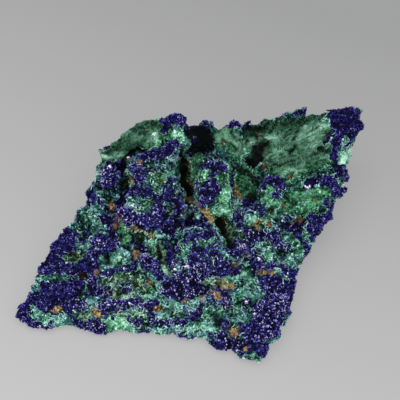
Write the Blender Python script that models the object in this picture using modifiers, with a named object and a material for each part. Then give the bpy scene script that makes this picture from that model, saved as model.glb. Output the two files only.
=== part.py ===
"""Azurite and malachite specimen: one crusted, four-cornered piece of ore lying on a flat foot.

Metres, +Z up. The origin is the middle of the specimen's box on the surface that it rests on.
+X runs along the piece, from the thin left tip to the far right corner, and +Y runs back from
its low front edge to its high back rim. Lengths in the tables below are in millimetres.
"""

import math

import bmesh
import bpy
from mathutils import Matrix, Vector, noise

MM = 0.001
NAME = "azurite_specimen"

# Driving dimensions, in millimetres
LENGTH = 60.0  # along X, tip to far corner
FACE_TARGET = 9300  # triangles of the finished solid
GRID_STEP = 0.45  # spacing of the slab's grid before its lumps are fused on
FUSE_STEP = 0.36  # voxel size that fuses slab, knobs and balls into one body
PLAN_ACROSS, PLAN_BACK = 0.75, 0.7  # the plan's mean width and depth, as shares of the length
FOOT_CUT = 1.0  # how far the raw underside reaches below the flat foot
WALL_ROWS = 6  # rows of faces up the slab's side walls

# Corners and edges of the plan
LEFT_TIP, NEAR_CORNER = (-28.8, -14.0), (11.6, -22.0)
BACK_CORNER, FAR_CORNER = (-16.6, 12.2), (29.6, 23.4)
FRONT_EDGE = [LEFT_TIP, (-24, -15.4), (-15, -16.4), (-8, -16.8), (-1, -18.2), (5, -19.8), NEAR_CORNER]
BACK_EDGE = [BACK_CORNER, (-11.5, 16.2), (-6.5, 18.2), (-2, 18.8), (3, 18.4), (9, 18.9), (16, 20.6),
             (23, 22.2), FAR_CORNER]
LEFT_EDGE = [LEFT_TIP, (-25.6, -8.2), (-21.6, -1.2), (-18.4, 6), BACK_CORNER]
RIGHT_EDGE = [NEAR_CORNER, (15.2, -17.2), (17.6, -11.5), (19.2, -4.5), (22.2, 1), (25, 8), (27.4, 15.2),
              FAR_CORNER]

# Height of the crust's general slope, at shares of the way from the front edge to the back
SLOPE_STATIONS = (0.0, 0.08, 0.28, 0.5, 0.72, 0.87, 0.95, 1.0)
SLOPE_LEFT = (1.6, 2.8, 4.6, 6.2, 8.6, 10.6, 12.6, 12.8)
SLOPE_MIDDLE = (1.3, 3.0, 4.8, 6.2, 6.8, 7.6, 14.2, 14.6)
SLOPE_RIGHT = (1.6, 3.2, 3.9, 4.8, 7.0, 9.8, 12.8, 13.8)

# Height of the underside at the slab's edges: it curls up off the surface towards the back and right
LIFT_FRONT, LIFT_LEFT, LIFT_BACK = 0.5, 1.2, 3.4
LIFT_RIGHT_NEAR, LIFT_RIGHT_FAR = 1.2, 3.9
LIFT_REACH = 0.3  # share of the plan over which the underside rises
PIT_SIZE, PIT_START, PIT_DEPTH = 9.0, 0.12, 7.0  # broken hollows in the underside
FOOT_MIDDLE = 6.0  # radius about the middle of the foot that has no such hollow

# Knobs and ridges: x, y, height of the top, half length, half width, turn in degrees,
# fall from the top to the foot, squareness
KNOBS = {
    "back_peak": (-2.8, 18.3, 17.4, 3.2, 1.7, 5, 5.0, 3),
    "crest_knob": (-1.6, 15.4, 16.2, 2.6, 2.7, 0, 5.0, 4),
    "crest_shoulder": (-5.8, 15.9, 15.0, 2.4, 2.0, 20, 4.0, 3),
    "back_left_rim": (-9.2, 16.0, 15.5, 5.6, 1.5, 27, 3.4, 3),
    "strip_ridge": (-6.0, 12.6, 14.6, 4.9, 1.5, 18, 3.0, 3),
    "massif_face": (-5.9, 8.4, 12.6, 4.8, 4.6, 0, 5.0, 4),
    "massif_foot": (-2.6, 5.0, 10.4, 2.2, 4.0, 10, 4.0, 4),
    "wedge": (-8.2, 2.3, 10.5, 5.2, 3.2, -12, 4.4, 4),
    "wedge_toe": (-5.0, -0.6, 8.4, 2.6, 2.2, 0, 3.0, 3),
    "left_ball_seat": (-13.4, 8.6, 10.8, 2.8, 3.2, 0, 3.0, 3),
    "left_shoulder": (-15.6, 3.6, 8.9, 2.6, 3.0, -20, 3.0, 3),
    "block": (4.5, 8.9, 13.9, 3.3, 3.3, 4, 6.2, 6),
    "block_face": (4.7, 6.0, 11.2, 3.2, 2.7, 0, 4.4, 4),
    "far_knob": (7.4, 16.4, 14.2, 2.9, 2.3, 0, 5.5, 5),
    "far_knob_foot": (9.0, 13.6, 10.4, 2.0, 2.0, 0, 3.0, 3),
    "rim_step_one": (8.6, 18.4, 14.4, 3.6, 1.5, 4, 4.0, 3),
    "rim_step_two": (19.4, 20.7, 15.6, 3.0, 1.5, 12, 3.6, 3),
    "rim_corner": (27.6, 22.0, 14.7, 2.6, 1.7, 8, 3.4, 3),
    "corner_slope": (26.4, 18.2, 12.0, 2.2, 3.4, -20, 4.0, 3),
    "fan_rib_one": (18.6, 15.2, 10.2, 5.4, 0.9, 38, 1.8, 2),
    "fan_rib_two": (15.6, 16.2, 10.0, 4.6, 0.8, 50, 2.0, 2),
    "fan_rib_three": (20.4, 12.2, 9.0, 4.6, 0.9, 26, 1.8, 2),
    "fan_rib_four": (22.4, 16.6, 11.0, 4.4, 0.9, 42, 1.8, 2),
    "brown_nub_far": (13.0, 14.6, 9.2, 1.2, 1.0, 0, 2.2, 3),
    "brown_nub_near": (8.9, 8.6, 8.6, 1.3, 1.1, -30, 2.2, 3),
    "tooth": (14.8, 8.6, 10.6, 2.6, 2.2, -15, 4.6, 5),
    "tooth_flank": (13.2, 6.4, 8.6, 2.4, 2.4, -40, 3.4, 3),
    "right_ridge": (21.6, 6.6, 8.3, 4.2, 1.8, 35, 2.6, 3),
    "edge_cap_far": (26.2, 11.8, 9.4, 1.9, 1.9, 0, 3.0, 3),
    "edge_cap_strip": (23.4, 9.8, 8.9, 2.6, 1.1, 18, 2.6, 3),
    "edge_cap_mid": (25.0, 6.8, 7.9, 1.4, 1.6, 0, 2.8, 3),
    "edge_cap_near": (21.6, 1.4, 7.1, 1.9, 1.8, 30, 3.0, 3),
    "edge_cap_low": (18.6, -1.4, 6.5, 1.9, 1.5, 0, 2.4, 3),
    "notch_knob": (11.2, 3.6, 8.9, 2.1, 2.0, 0, 3.8, 4),
    "notch_knob_right": (14.4, 2.2, 7.9, 1.8, 1.7, 0, 2.6, 3),
    "notch_knob_far": (17.8, 3.8, 7.4, 1.8, 1.6, 0, 2.4, 3),
    "heart": (2.4, -1.6, 8.9, 4.2, 2.7, -6, 3.4, 4),
    "heart_left": (-1.6, 0.9, 8.3, 1.6, 1.9, 0, 2.6, 3),
    "bulge": (2.2, -5.5, 7.7, 5.9, 2.9, 3, 3.6, 5),
    "bulge_left": (-2.0, -8.6, 6.3, 2.7, 1.9, 10, 2.8, 4),
    "bulge_right": (9.6, -3.4, 7.0, 2.6, 2.2, -20, 2.8, 4),
    "bead_upper": (-6.5, -5.4, 7.6, 1.8, 1.6, 0, 2.6, 3),
    "bead_lower": (-6.0, -8.0, 6.8, 1.9, 1.4, 0, 2.4, 3),
    "ring_rib": (-3.5, -6.8, 6.9, 0.7, 3.0, 8, 2.0, 2),
    "saddle": (-11.0, -3.6, 6.9, 2.2, 1.8, 15, 2.2, 3),
    "left_lump": (-14.6, -2.0, 7.8, 3.1, 2.5, 25, 3.2, 4),
    "left_lump_low": (-16.3, -5.6, 6.3, 1.9, 1.8, 0, 2.4, 3),
    "flank_edge_high": (-20.0, -0.8, 6.6, 4.6, 1.8, 62, 2.6, 3),
    "flank_edge_mid": (-23.0, -6.3, 5.2, 3.6, 1.8, 50, 2.4, 3),
    "flank_middle": (-20.0, -9.8, 5.2, 4.6, 1.9, 22, 2.2, 3),
    "flank_low": (-24.6, -11.4, 3.8, 3.8, 1.5, 25, 2.0, 3),
    "shelf_left": (-12.6, -7.8, 5.9, 3.2, 1.5, 4, 2.0, 3),
    "shelf_front": (-15.0, -12.4, 4.5, 3.6, 1.5, -4, 2.0, 3),
    "apron_bead": (-7.6, -12.6, 4.6, 2.6, 1.4, 0, 1.9, 3),
    "apron_mid": (-0.6, -13.2, 4.4, 3.0, 1.5, -8, 1.9, 3),
    "apron_right": (6.4, -15.8, 4.1, 3.0, 1.6, -18, 1.9, 3),
    "lobe_high": (14.4, -7.6, 6.2, 3.2, 2.8, 20, 2.6, 4),
    "lobe_mid": (14.6, -12.6, 5.3, 2.9, 2.9, 0, 2.4, 4),
    "lobe_low": (11.6, -18.6, 4.0, 2.9, 2.2, -25, 2.2, 3),
    "lobe_left": (8.6, -11.4, 5.2, 2.2, 1.7, 30, 2.0, 3),
}

# Cracks, troughs and hollows: start, end, half width, depth
HOLLOWS = {
    "dark_slot": ((0.5, 12.5), (0.6, 4.0), 1.0, 3.4),
    "dark_slot_foot": ((0.6, 4.5), (-1.4, 1.0), 0.9, 1.6),
    "back_hollow": ((1.4, 14.6), (4.2, 14.6), 1.7, 3.6),
    "block_notch": ((7.9, 11.6), (9.6, 5.4), 1.1, 1.8),
    "rim_trough": ((-14.0, 12.0), (-6.6, 14.6), 0.9, 1.9),
    "ball_gap": ((-11.3, 10.6), (-11.4, 5.6), 0.8, 1.8),
    "wedge_shadow": ((-12.6, 4.2), (-9.0, 5.6), 0.7, 1.2),
    "wedge_undercut": ((-12.8, -0.8), (-5.0, -3.7), 0.7, 1.3),
    "crevice": ((6.3, 3.6), (10.2, -1.4), 0.9, 2.6),
    "tooth_slot": ((11.2, 7.4), (10.2, 12.0), 1.3, 1.7),
    "fan_root": ((10.6, 16.2), (14.4, 17.2), 1.3, 2.2),
    "lip_shadow": ((2.2, -9.6), (9.0, -8.3), 1.1, 1.9),
    "lip_shadow_left": ((-5.0, -10.6), (-0.5, -11.2), 0.7, 1.0),
    "boxwork_left": ((-11.4, -9.8), (-8.6, -10.2), 0.9, 1.1),
    "boxwork_right": ((-8.8, -6.6), (-9.6, -8.4), 0.7, 0.9),
    "flank_groove": ((-24.6, -8.6), (-17.6, -7.4), 0.8, 1.2),
    "flank_groove_high": ((-18.0, 1.8), (-17.4, -4.4), 0.8, 1.1),
    "apron_pit": ((8.8, -13.8), (9.6, -14.8), 1.0, 1.6),
    "lobe_groove": ((11.6, -5.4), (11.0, -10.2), 0.7, 1.1),
    "edge_groove": ((19.2, 3.0), (15.8, -3.6), 0.7, 1.0),
}

# Round azurite balls that stand out of the crust's edges: x, y, z, radius
BALLS = {
    "bright_ball": (-13.4, 9.2, 11.0, 2.0),
    "left_bead_far": (-16.8, 8.0, 8.6, 1.2),
    "left_bead_near": (-15.9, 6.2, 8.8, 1.1),
    "rim_bead_left": (-14.2, 12.9, 12.3, 1.1),
    "rim_bead_one": (4.2, 18.0, 13.5, 0.9),
    "rim_bead_two": (8.2, 18.4, 14.2, 1.1),
    "rim_bead_three": (10.6, 18.8, 13.6, 0.9),
    "rim_bead_four": (14.2, 19.6, 13.3, 0.8),
    "rim_bead_five": (20.9, 21.2, 15.2, 1.1),
    "corner_bead": (29.3, 20.4, 11.0, 1.1),
    "edge_bead_far": (25.9, 9.2, 7.0, 1.4),
    "edge_bead_mid": (24.4, 4.8, 5.6, 1.1),
    "edge_bead_near": (22.8, 2.2, 5.2, 1.1),
    "edge_bead_low": (19.8, -2.2, 4.1, 1.2),
    "lobe_bead": (16.8, -13.4, 1.9, 1.1),
    "lobe_bead_low": (14.8, -16.8, 2.0, 1.1),
    "front_bead": (5.4, -19.0, 1.9, 1.0),
    "left_edge_bead": (-23.8, -5.0, 3.6, 1.3),
}

# Where malachite is smooth, with no bunches of crystals: x, y, half length, half width, turn in degrees
CALM = {
    "bowl": (17.5, 14.5, 9.5, 5.2, 25),
    "back_left_plate": (-10.5, 14.0, 5.0, 2.0, 30),
    "block_flank": (7.2, 7.6, 1.2, 5.0, 0),
    "far_knob": (7.6, 15.0, 3.0, 3.0, 0),
    "apron": (-1.0, -14.8, 9.0, 1.2, -8),
    "hollow_under_lip": (6.0, -9.6, 4.0, 1.6, 0),
}
CALM_SHARE = 0.3  # share of the bunches' depth that is left there
CALM_BORDER = 0.2  # how soon past such a place's middle the bunches start to return

# Crust texture, in millimetres
SWELL_SIZE, SWELL_DEPTH = 5.0, 0.55  # broad unevenness
CELL_SIZE, CELL_DEPTH = 1.8, 0.65  # blunt, tilted ends of crystal bunches
CELL_REACH, CELL_LIFT = 0.75, 0.35  # how far a bunch's round end reaches, and its mean height, in cells
LEAN_SPREAD = 37.0  # how unlike the leans of neighbouring bunches are
EDGE_ROUND = 1.3  # how far in from the outline the crust rolls over
EDGE_STEEPEST = 0.99  # share of that roll, which stops short of upright
SIDE_BULGE = 0.5  # how far the side walls belly out at half height
RAGGED_SIZE, RAGGED_SWAY = 2.6, 0.9  # wander of the side walls
UNDER_SIZE, UNDER_DEPTH = 6.0, 0.7  # unevenness of the underside
THINNEST = 1.0  # least height of the slab anywhere
FOOT_FADE = 1.5  # height over which the bunches grow in, above the foot
BLEND = 0.45  # how wide a knob and the slope blend
SWELL_LAYER, UNDER_LAYER, PIT_LAYER = 3.1, 11.7, 27.3  # where in the noise each unevenness is read
SEED = 5  # of the noise that makes the outline ragged


def clear_scene():
    for obj in list(bpy.data.objects):
        bpy.data.objects.remove(obj, do_unlink=True)


def lerp(a, b, share):
    return a + (b - a) * share


def soft_top(a, b, width=BLEND):
    """The higher of two heights, rounded where they cross."""
    share = max(0.0, min(1.0, 0.5 + (a - b) / (4 * width)))
    return lerp(b, a, share) + 2 * width * share * (1 - share)


def along(points, share):
    """The point at a share of an edge's length, on a smooth curve through its points."""
    spans = [math.dist(p, q) for p, q in zip(points, points[1:])]
    left = share * sum(spans)
    for i, span in enumerate(spans):
        if left <= span or i == len(spans) - 1:
            t = min(1.0, left / span)
            before = Vector(points[max(i - 1, 0)])
            start, end = Vector(points[i]), Vector(points[i + 1])
            after = Vector(points[min(i + 2, len(points) - 1)])
            bend = (2 * before - 5 * start + 4 * end - after) * t ** 2
            twist = (3 * start - before - 3 * end + after) * t ** 3
            return 0.5 * (2 * start + (end - before) * t + bend + twist)
        left -= span


def plan_point(a, b):
    """Where a share a from left to right and b from front to back lies in the four-cornered plan."""
    sides = lerp(along(LEFT_EDGE, b), along(RIGHT_EDGE, b), a)
    ends = lerp(along(FRONT_EDGE, a), along(BACK_EDGE, a), b)
    front = lerp(Vector(FRONT_EDGE[0]), Vector(FRONT_EDGE[-1]), a)
    back = lerp(Vector(BACK_EDGE[0]), Vector(BACK_EDGE[-1]), a)
    return sides + ends - lerp(front, back, b)


def station(heights, b):
    """Height at a share b of the way back, read smoothly between the slope's stations."""
    for i in range(len(SLOPE_STATIONS) - 1):
        low, high = SLOPE_STATIONS[i], SLOPE_STATIONS[i + 1]
        if b <= high:
            t = (b - low) / (high - low)
            return lerp(heights[i], heights[i + 1], t * t * (3 - 2 * t))
    return heights[-1]


def slope(a, b):
    left, middle, right = (station(row, b) for row in (SLOPE_LEFT, SLOPE_MIDDLE, SLOPE_RIGHT))
    return lerp(left, middle, a / 0.5) if a < 0.5 else lerp(middle, right, (a - 0.5) / 0.5)


def knob_height(x, y, knob):
    cx, cy, top, half_length, half_width, turn, fall, squareness = knob
    angle = math.radians(turn)
    dx, dy = x - cx, y - cy
    u = (dx * math.cos(angle) + dy * math.sin(angle)) / half_length
    v = (dy * math.cos(angle) - dx * math.sin(angle)) / half_width
    return top - fall * (abs(u) ** squareness + abs(v) ** squareness)


def hollow_depth(x, y, hollow):
    start, end, half_width, depth = hollow
    run = Vector(end) - Vector(start)
    offset = Vector((x, y)) - Vector(start)
    share = max(0.0, min(1.0, offset.dot(run) / run.length_squared))
    away = (offset - run * share).length / half_width
    return depth * math.exp(-away * away)


def edge_fall(a, b):
    """How far the crust has rolled over, near the outline of the plan."""
    inside = min(min(a, 1 - a) * LENGTH * PLAN_ACROSS, min(b, 1 - b) * LENGTH * PLAN_BACK)
    share = max(0.0, 1 - inside / EDGE_ROUND)
    return EDGE_ROUND * (1 - math.sqrt(1 - min(share, EDGE_STEEPEST) ** 2))


def top_height(x, y, a, b):
    """Height of the crust over a point of the plan."""
    height = slope(a, b)
    height += SWELL_DEPTH * noise.noise(Vector((x, y, SWELL_LAYER)) / SWELL_SIZE)
    for knob in KNOBS.values():
        height = soft_top(height, knob_height(x, y, knob))
    for hollow in HOLLOWS.values():
        height -= hollow_depth(x, y, hollow)
    return height - edge_fall(a, b)


def under_height(x, y, a, b):
    """Height of the underside: below the foot in the middle, lifted at the edges."""
    lift_right = lerp(LIFT_RIGHT_NEAR, LIFT_RIGHT_FAR, b)
    lift = 0.0
    for edge_lift, distance in ((LIFT_LEFT, a), (lift_right, 1 - a), (LIFT_FRONT, b), (LIFT_BACK, 1 - b)):
        rise = max(0.0, 1 - distance / LIFT_REACH)
        lift = max(lift, (edge_lift + FOOT_CUT) * rise * rise)
    rough = UNDER_DEPTH * noise.noise(Vector((x, y, UNDER_LAYER)) / UNDER_SIZE)
    clear = max(0.0, min(1.0, math.hypot(x, y) / FOOT_MIDDLE - 1))
    pit = PIT_DEPTH * clear * max(0.0, noise.noise(Vector((x, y, PIT_LAYER)) / PIT_SIZE) - PIT_START)
    return lift - FOOT_CUT + pit + rough * min(1.0, lift / FOOT_CUT)


def slab_mesh():
    """The slab: a grid over the plan, raised to a box, with each point moved to its place."""
    bm = bmesh.new()
    across = round(LENGTH * PLAN_ACROSS / GRID_STEP)
    back = round(LENGTH * PLAN_BACK / GRID_STEP)
    bmesh.ops.create_grid(bm, x_segments=across, y_segments=back, size=0.5)
    raised = bmesh.ops.extrude_face_region(bm, geom=bm.faces[:], use_keep_orig=True)
    for vert in (v for v in raised["geom"] if isinstance(v, bmesh.types.BMVert)):
        vert.co.z = 1.0
    walls = [e for e in bm.edges if abs(e.verts[0].co.z - e.verts[1].co.z) > 0.5]
    bmesh.ops.subdivide_edges(bm, edges=walls, cuts=WALL_ROWS - 1, use_grid_fill=True)
    for vert in bm.verts:
        a, b, c = (round(share, 4) for share in (vert.co.x + 0.5, vert.co.y + 0.5, vert.co.z))
        x, y = plan_point(a, b)
        low, high = under_height(x, y, a, b), top_height(x, y, a, b)
        if 0 < c < 1:
            bulge = SIDE_BULGE * math.sin(math.pi * c)
            outwards = Vector((a - 0.5, b - 0.5)).normalized()
            x, y = x + outwards.x * bulge, y + outwards.y * bulge
        vert.co = (x, y, lerp(low, max(high, low + THINNEST), c))
    for vert in bm.verts:
        sway = noise.noise_vector(vert.co / RAGGED_SIZE)
        vert.co += RAGGED_SWAY * Vector((sway.x, sway.y, 0.0))
    return bm


def add_balls(bm):
    """Balls sunk into the slab, each turned its own way."""
    for x, y, z, radius in BALLS.values():
        turned = Matrix.Translation((x, y, z)) @ Matrix.Rotation(x + y, 4, Vector((x, y, z)).normalized())
        bmesh.ops.create_icosphere(bm, subdivisions=2, radius=radius, matrix=turned)


def object_of(bm, name, collection):
    bmesh.ops.recalc_face_normals(bm, faces=bm.faces[:])
    bmesh.ops.scale(bm, vec=(MM, MM, MM), verts=bm.verts[:])
    mesh = bpy.data.meshes.new(name)
    bm.to_mesh(mesh)
    bm.free()
    obj = bpy.data.objects.new(name, mesh)
    collection.objects.link(obj)
    return obj


def settle_modifiers(obj):
    """Gives the object the mesh that its modifiers make."""
    graph = bpy.context.evaluated_depsgraph_get()
    made = bpy.data.meshes.new_from_object(obj.evaluated_get(graph))
    obj.modifiers.clear()
    obj.data = made


def fuse(obj):
    """Slab and balls become one closed skin."""
    remesh = obj.modifiers.new("fuse", "REMESH")
    remesh.mode = "VOXEL"
    remesh.voxel_size = FUSE_STEP * MM
    settle_modifiers(obj)


def liveliness(point):
    """Share of the bunches' depth at a point: less where malachite is smooth."""
    share = 1.0
    for cx, cy, half_length, half_width, turn in CALM.values():
        angle = math.radians(turn)
        dx, dy = point.x - cx, point.y - cy
        u = (dx * math.cos(angle) + dy * math.sin(angle)) / half_length
        v = (dy * math.cos(angle) - dx * math.sin(angle)) / half_width
        share = min(share, max(CALM_SHARE, math.hypot(u, v) - CALM_BORDER))
    return share


def crystal_ends(point):
    """Relief of the bunches of crystals at a point: each bunch has one blunt end, tilted its own way."""
    place = point / CELL_SIZE
    distances, centres = noise.voronoi(place)
    lean = noise.cell_vector(centres[0] * LEAN_SPREAD) - Vector((0.5, 0.5, 0.5))
    return (place - centres[0]).dot(lean) - (distances[0] / CELL_REACH) ** 2


def roughen(obj):
    """Bunches of crystals all over the crust, fading out towards the foot."""
    mesh = obj.data
    moves = []
    for vert in mesh.vertices:
        point = vert.co / MM
        fade = max(0.0, min(1.0, point.z / FOOT_FADE))
        height = CELL_DEPTH * liveliness(point) * (crystal_ends(point) + CELL_LIFT)
        moves.append(vert.normal * (height * fade * MM))
    for vert, move in zip(mesh.vertices, moves):
        vert.co += move


def keep_largest_piece(bm):
    """Leaves out any crumb or inner pocket that the fusing made."""
    left = set(bm.verts)
    pieces = []
    while left:
        piece, front = set(), [left.pop()]
        while front:
            vert = front.pop()
            piece.add(vert)
            for edge in vert.link_edges:
                other = edge.other_vert(vert)
                if other in left:
                    left.discard(other)
                    front.append(other)
        pieces.append(piece)
    pieces.sort(key=len)
    for piece in pieces[:-1]:
        bmesh.ops.delete(bm, geom=list(piece), context="VERTS")


def cut_foot(obj, cutters):
    """Cuts the underside flat where it rests."""
    bm = bmesh.new()
    bm.from_mesh(obj.data)
    keep_largest_piece(bm)
    bm.to_mesh(obj.data)
    bm.free()
    bpy.ops.mesh.primitive_cube_add(size=2 * LENGTH * MM, location=(0, 0, -LENGTH * MM))
    cutter = bpy.context.object
    cutter.name = "foot_cutter"
    cutter.hide_render = True
    cutter.display_type = "WIRE"
    for holder in list(cutter.users_collection):
        holder.objects.unlink(cutter)
    cutters.objects.link(cutter)
    cut = obj.modifiers.new("flat_foot", "BOOLEAN")
    cut.operation = "DIFFERENCE"
    cut.object = cutter
    settle_modifiers(obj)


def thin_out(obj):
    """Brings the skin to the wanted number of triangles."""
    decimate = obj.modifiers.new("thin_out", "DECIMATE")
    triangles = sum(len(p.vertices) - 2 for p in obj.data.polygons)
    decimate.ratio = FACE_TARGET / triangles
    settle_modifiers(obj)


def centre(obj):
    """Puts the middle of the object's box over the origin."""
    for axis in (0, 1):
        places = [vert.co[axis] for vert in obj.data.vertices]
        middle = (min(places) + max(places)) / 2
        for vert in obj.data.vertices:
            vert.co[axis] -= middle


def ore_material():
    material = bpy.data.materials.new("azurite_on_malachite")
    material.use_nodes = True
    shader = material.node_tree.nodes["Principled BSDF"]
    shader.inputs["Base Color"].default_value = (0.035, 0.06, 0.16, 1.0)
    shader.inputs["Roughness"].default_value = 0.6
    shader.inputs["Metallic"].default_value = 0.0
    return material


def build():
    clear_scene()
    noise.seed_set(SEED)
    collection, cutters = (bpy.data.collections.new(name) for name in (NAME, "cutters"))
    for made in (collection, cutters):
        bpy.context.scene.collection.children.link(made)
    bm = slab_mesh()
    add_balls(bm)
    specimen = object_of(bm, NAME, collection)
    fuse(specimen)
    roughen(specimen)
    thin_out(specimen)
    cut_foot(specimen, cutters)
    centre(specimen)
    specimen.data.materials.append(ore_material())
    return specimen


build()
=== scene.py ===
import math
import random

import bmesh
import bpy
import numpy as np
from mathutils import Matrix, Vector, noise
from mathutils.bvhtree import BVHTree


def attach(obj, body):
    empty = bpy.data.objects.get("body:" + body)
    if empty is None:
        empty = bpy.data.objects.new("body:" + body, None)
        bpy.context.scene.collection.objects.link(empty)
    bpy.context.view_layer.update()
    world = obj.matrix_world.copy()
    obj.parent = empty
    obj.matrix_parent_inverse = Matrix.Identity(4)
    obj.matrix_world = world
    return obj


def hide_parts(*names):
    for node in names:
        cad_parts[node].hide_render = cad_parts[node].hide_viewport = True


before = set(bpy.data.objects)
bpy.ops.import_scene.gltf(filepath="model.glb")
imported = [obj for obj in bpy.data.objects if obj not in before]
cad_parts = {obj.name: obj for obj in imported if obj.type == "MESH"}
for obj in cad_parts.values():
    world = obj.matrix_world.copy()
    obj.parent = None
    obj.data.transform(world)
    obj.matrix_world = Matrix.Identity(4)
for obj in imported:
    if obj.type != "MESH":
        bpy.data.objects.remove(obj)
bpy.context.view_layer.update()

mm = 0.001
noise.seed_set(11)

# Camera, looking down at the front of the specimen
picture = {
    "pixels": 400,
    "mmPerPixel": 0.175,  # at the middle of the foot
    "lookDown": 50,  # degrees
    "distance": 350.6,  # mm from the middle of the foot
    "footColumn": 191.6,  # pixel that the middle of the foot falls on
    "footRow": 254.4,
}
lookDown = math.radians(picture["lookDown"])
viewRight = Vector((1, 0, 0))
viewUp = Vector((0, math.sin(lookDown), math.cos(lookDown)))
viewBack = Vector((0, -math.cos(lookDown), math.sin(lookDown)))
half = picture["pixels"] / 2
cameraPlace = mm * (viewRight * (half - picture["footColumn"]) * picture["mmPerPixel"]
                    + viewUp * (picture["footRow"] - half) * picture["mmPerPixel"]
                    + viewBack * picture["distance"])


def makeCamera():
    data = bpy.data.cameras.new("camera")
    camera = bpy.data.objects.new("camera", data)
    bpy.context.scene.collection.objects.link(camera)
    bpy.context.scene.camera = camera
    data.lens = data.sensor_width / 2 * picture["distance"] / (half * picture["mmPerPixel"])
    data.clip_start = 0.01
    turn = Matrix((viewRight, viewUp, viewBack)).transposed().to_4x4()
    camera.matrix_world = Matrix.Translation(cameraPlace) @ turn


makeCamera()
print("camera made")


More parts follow.
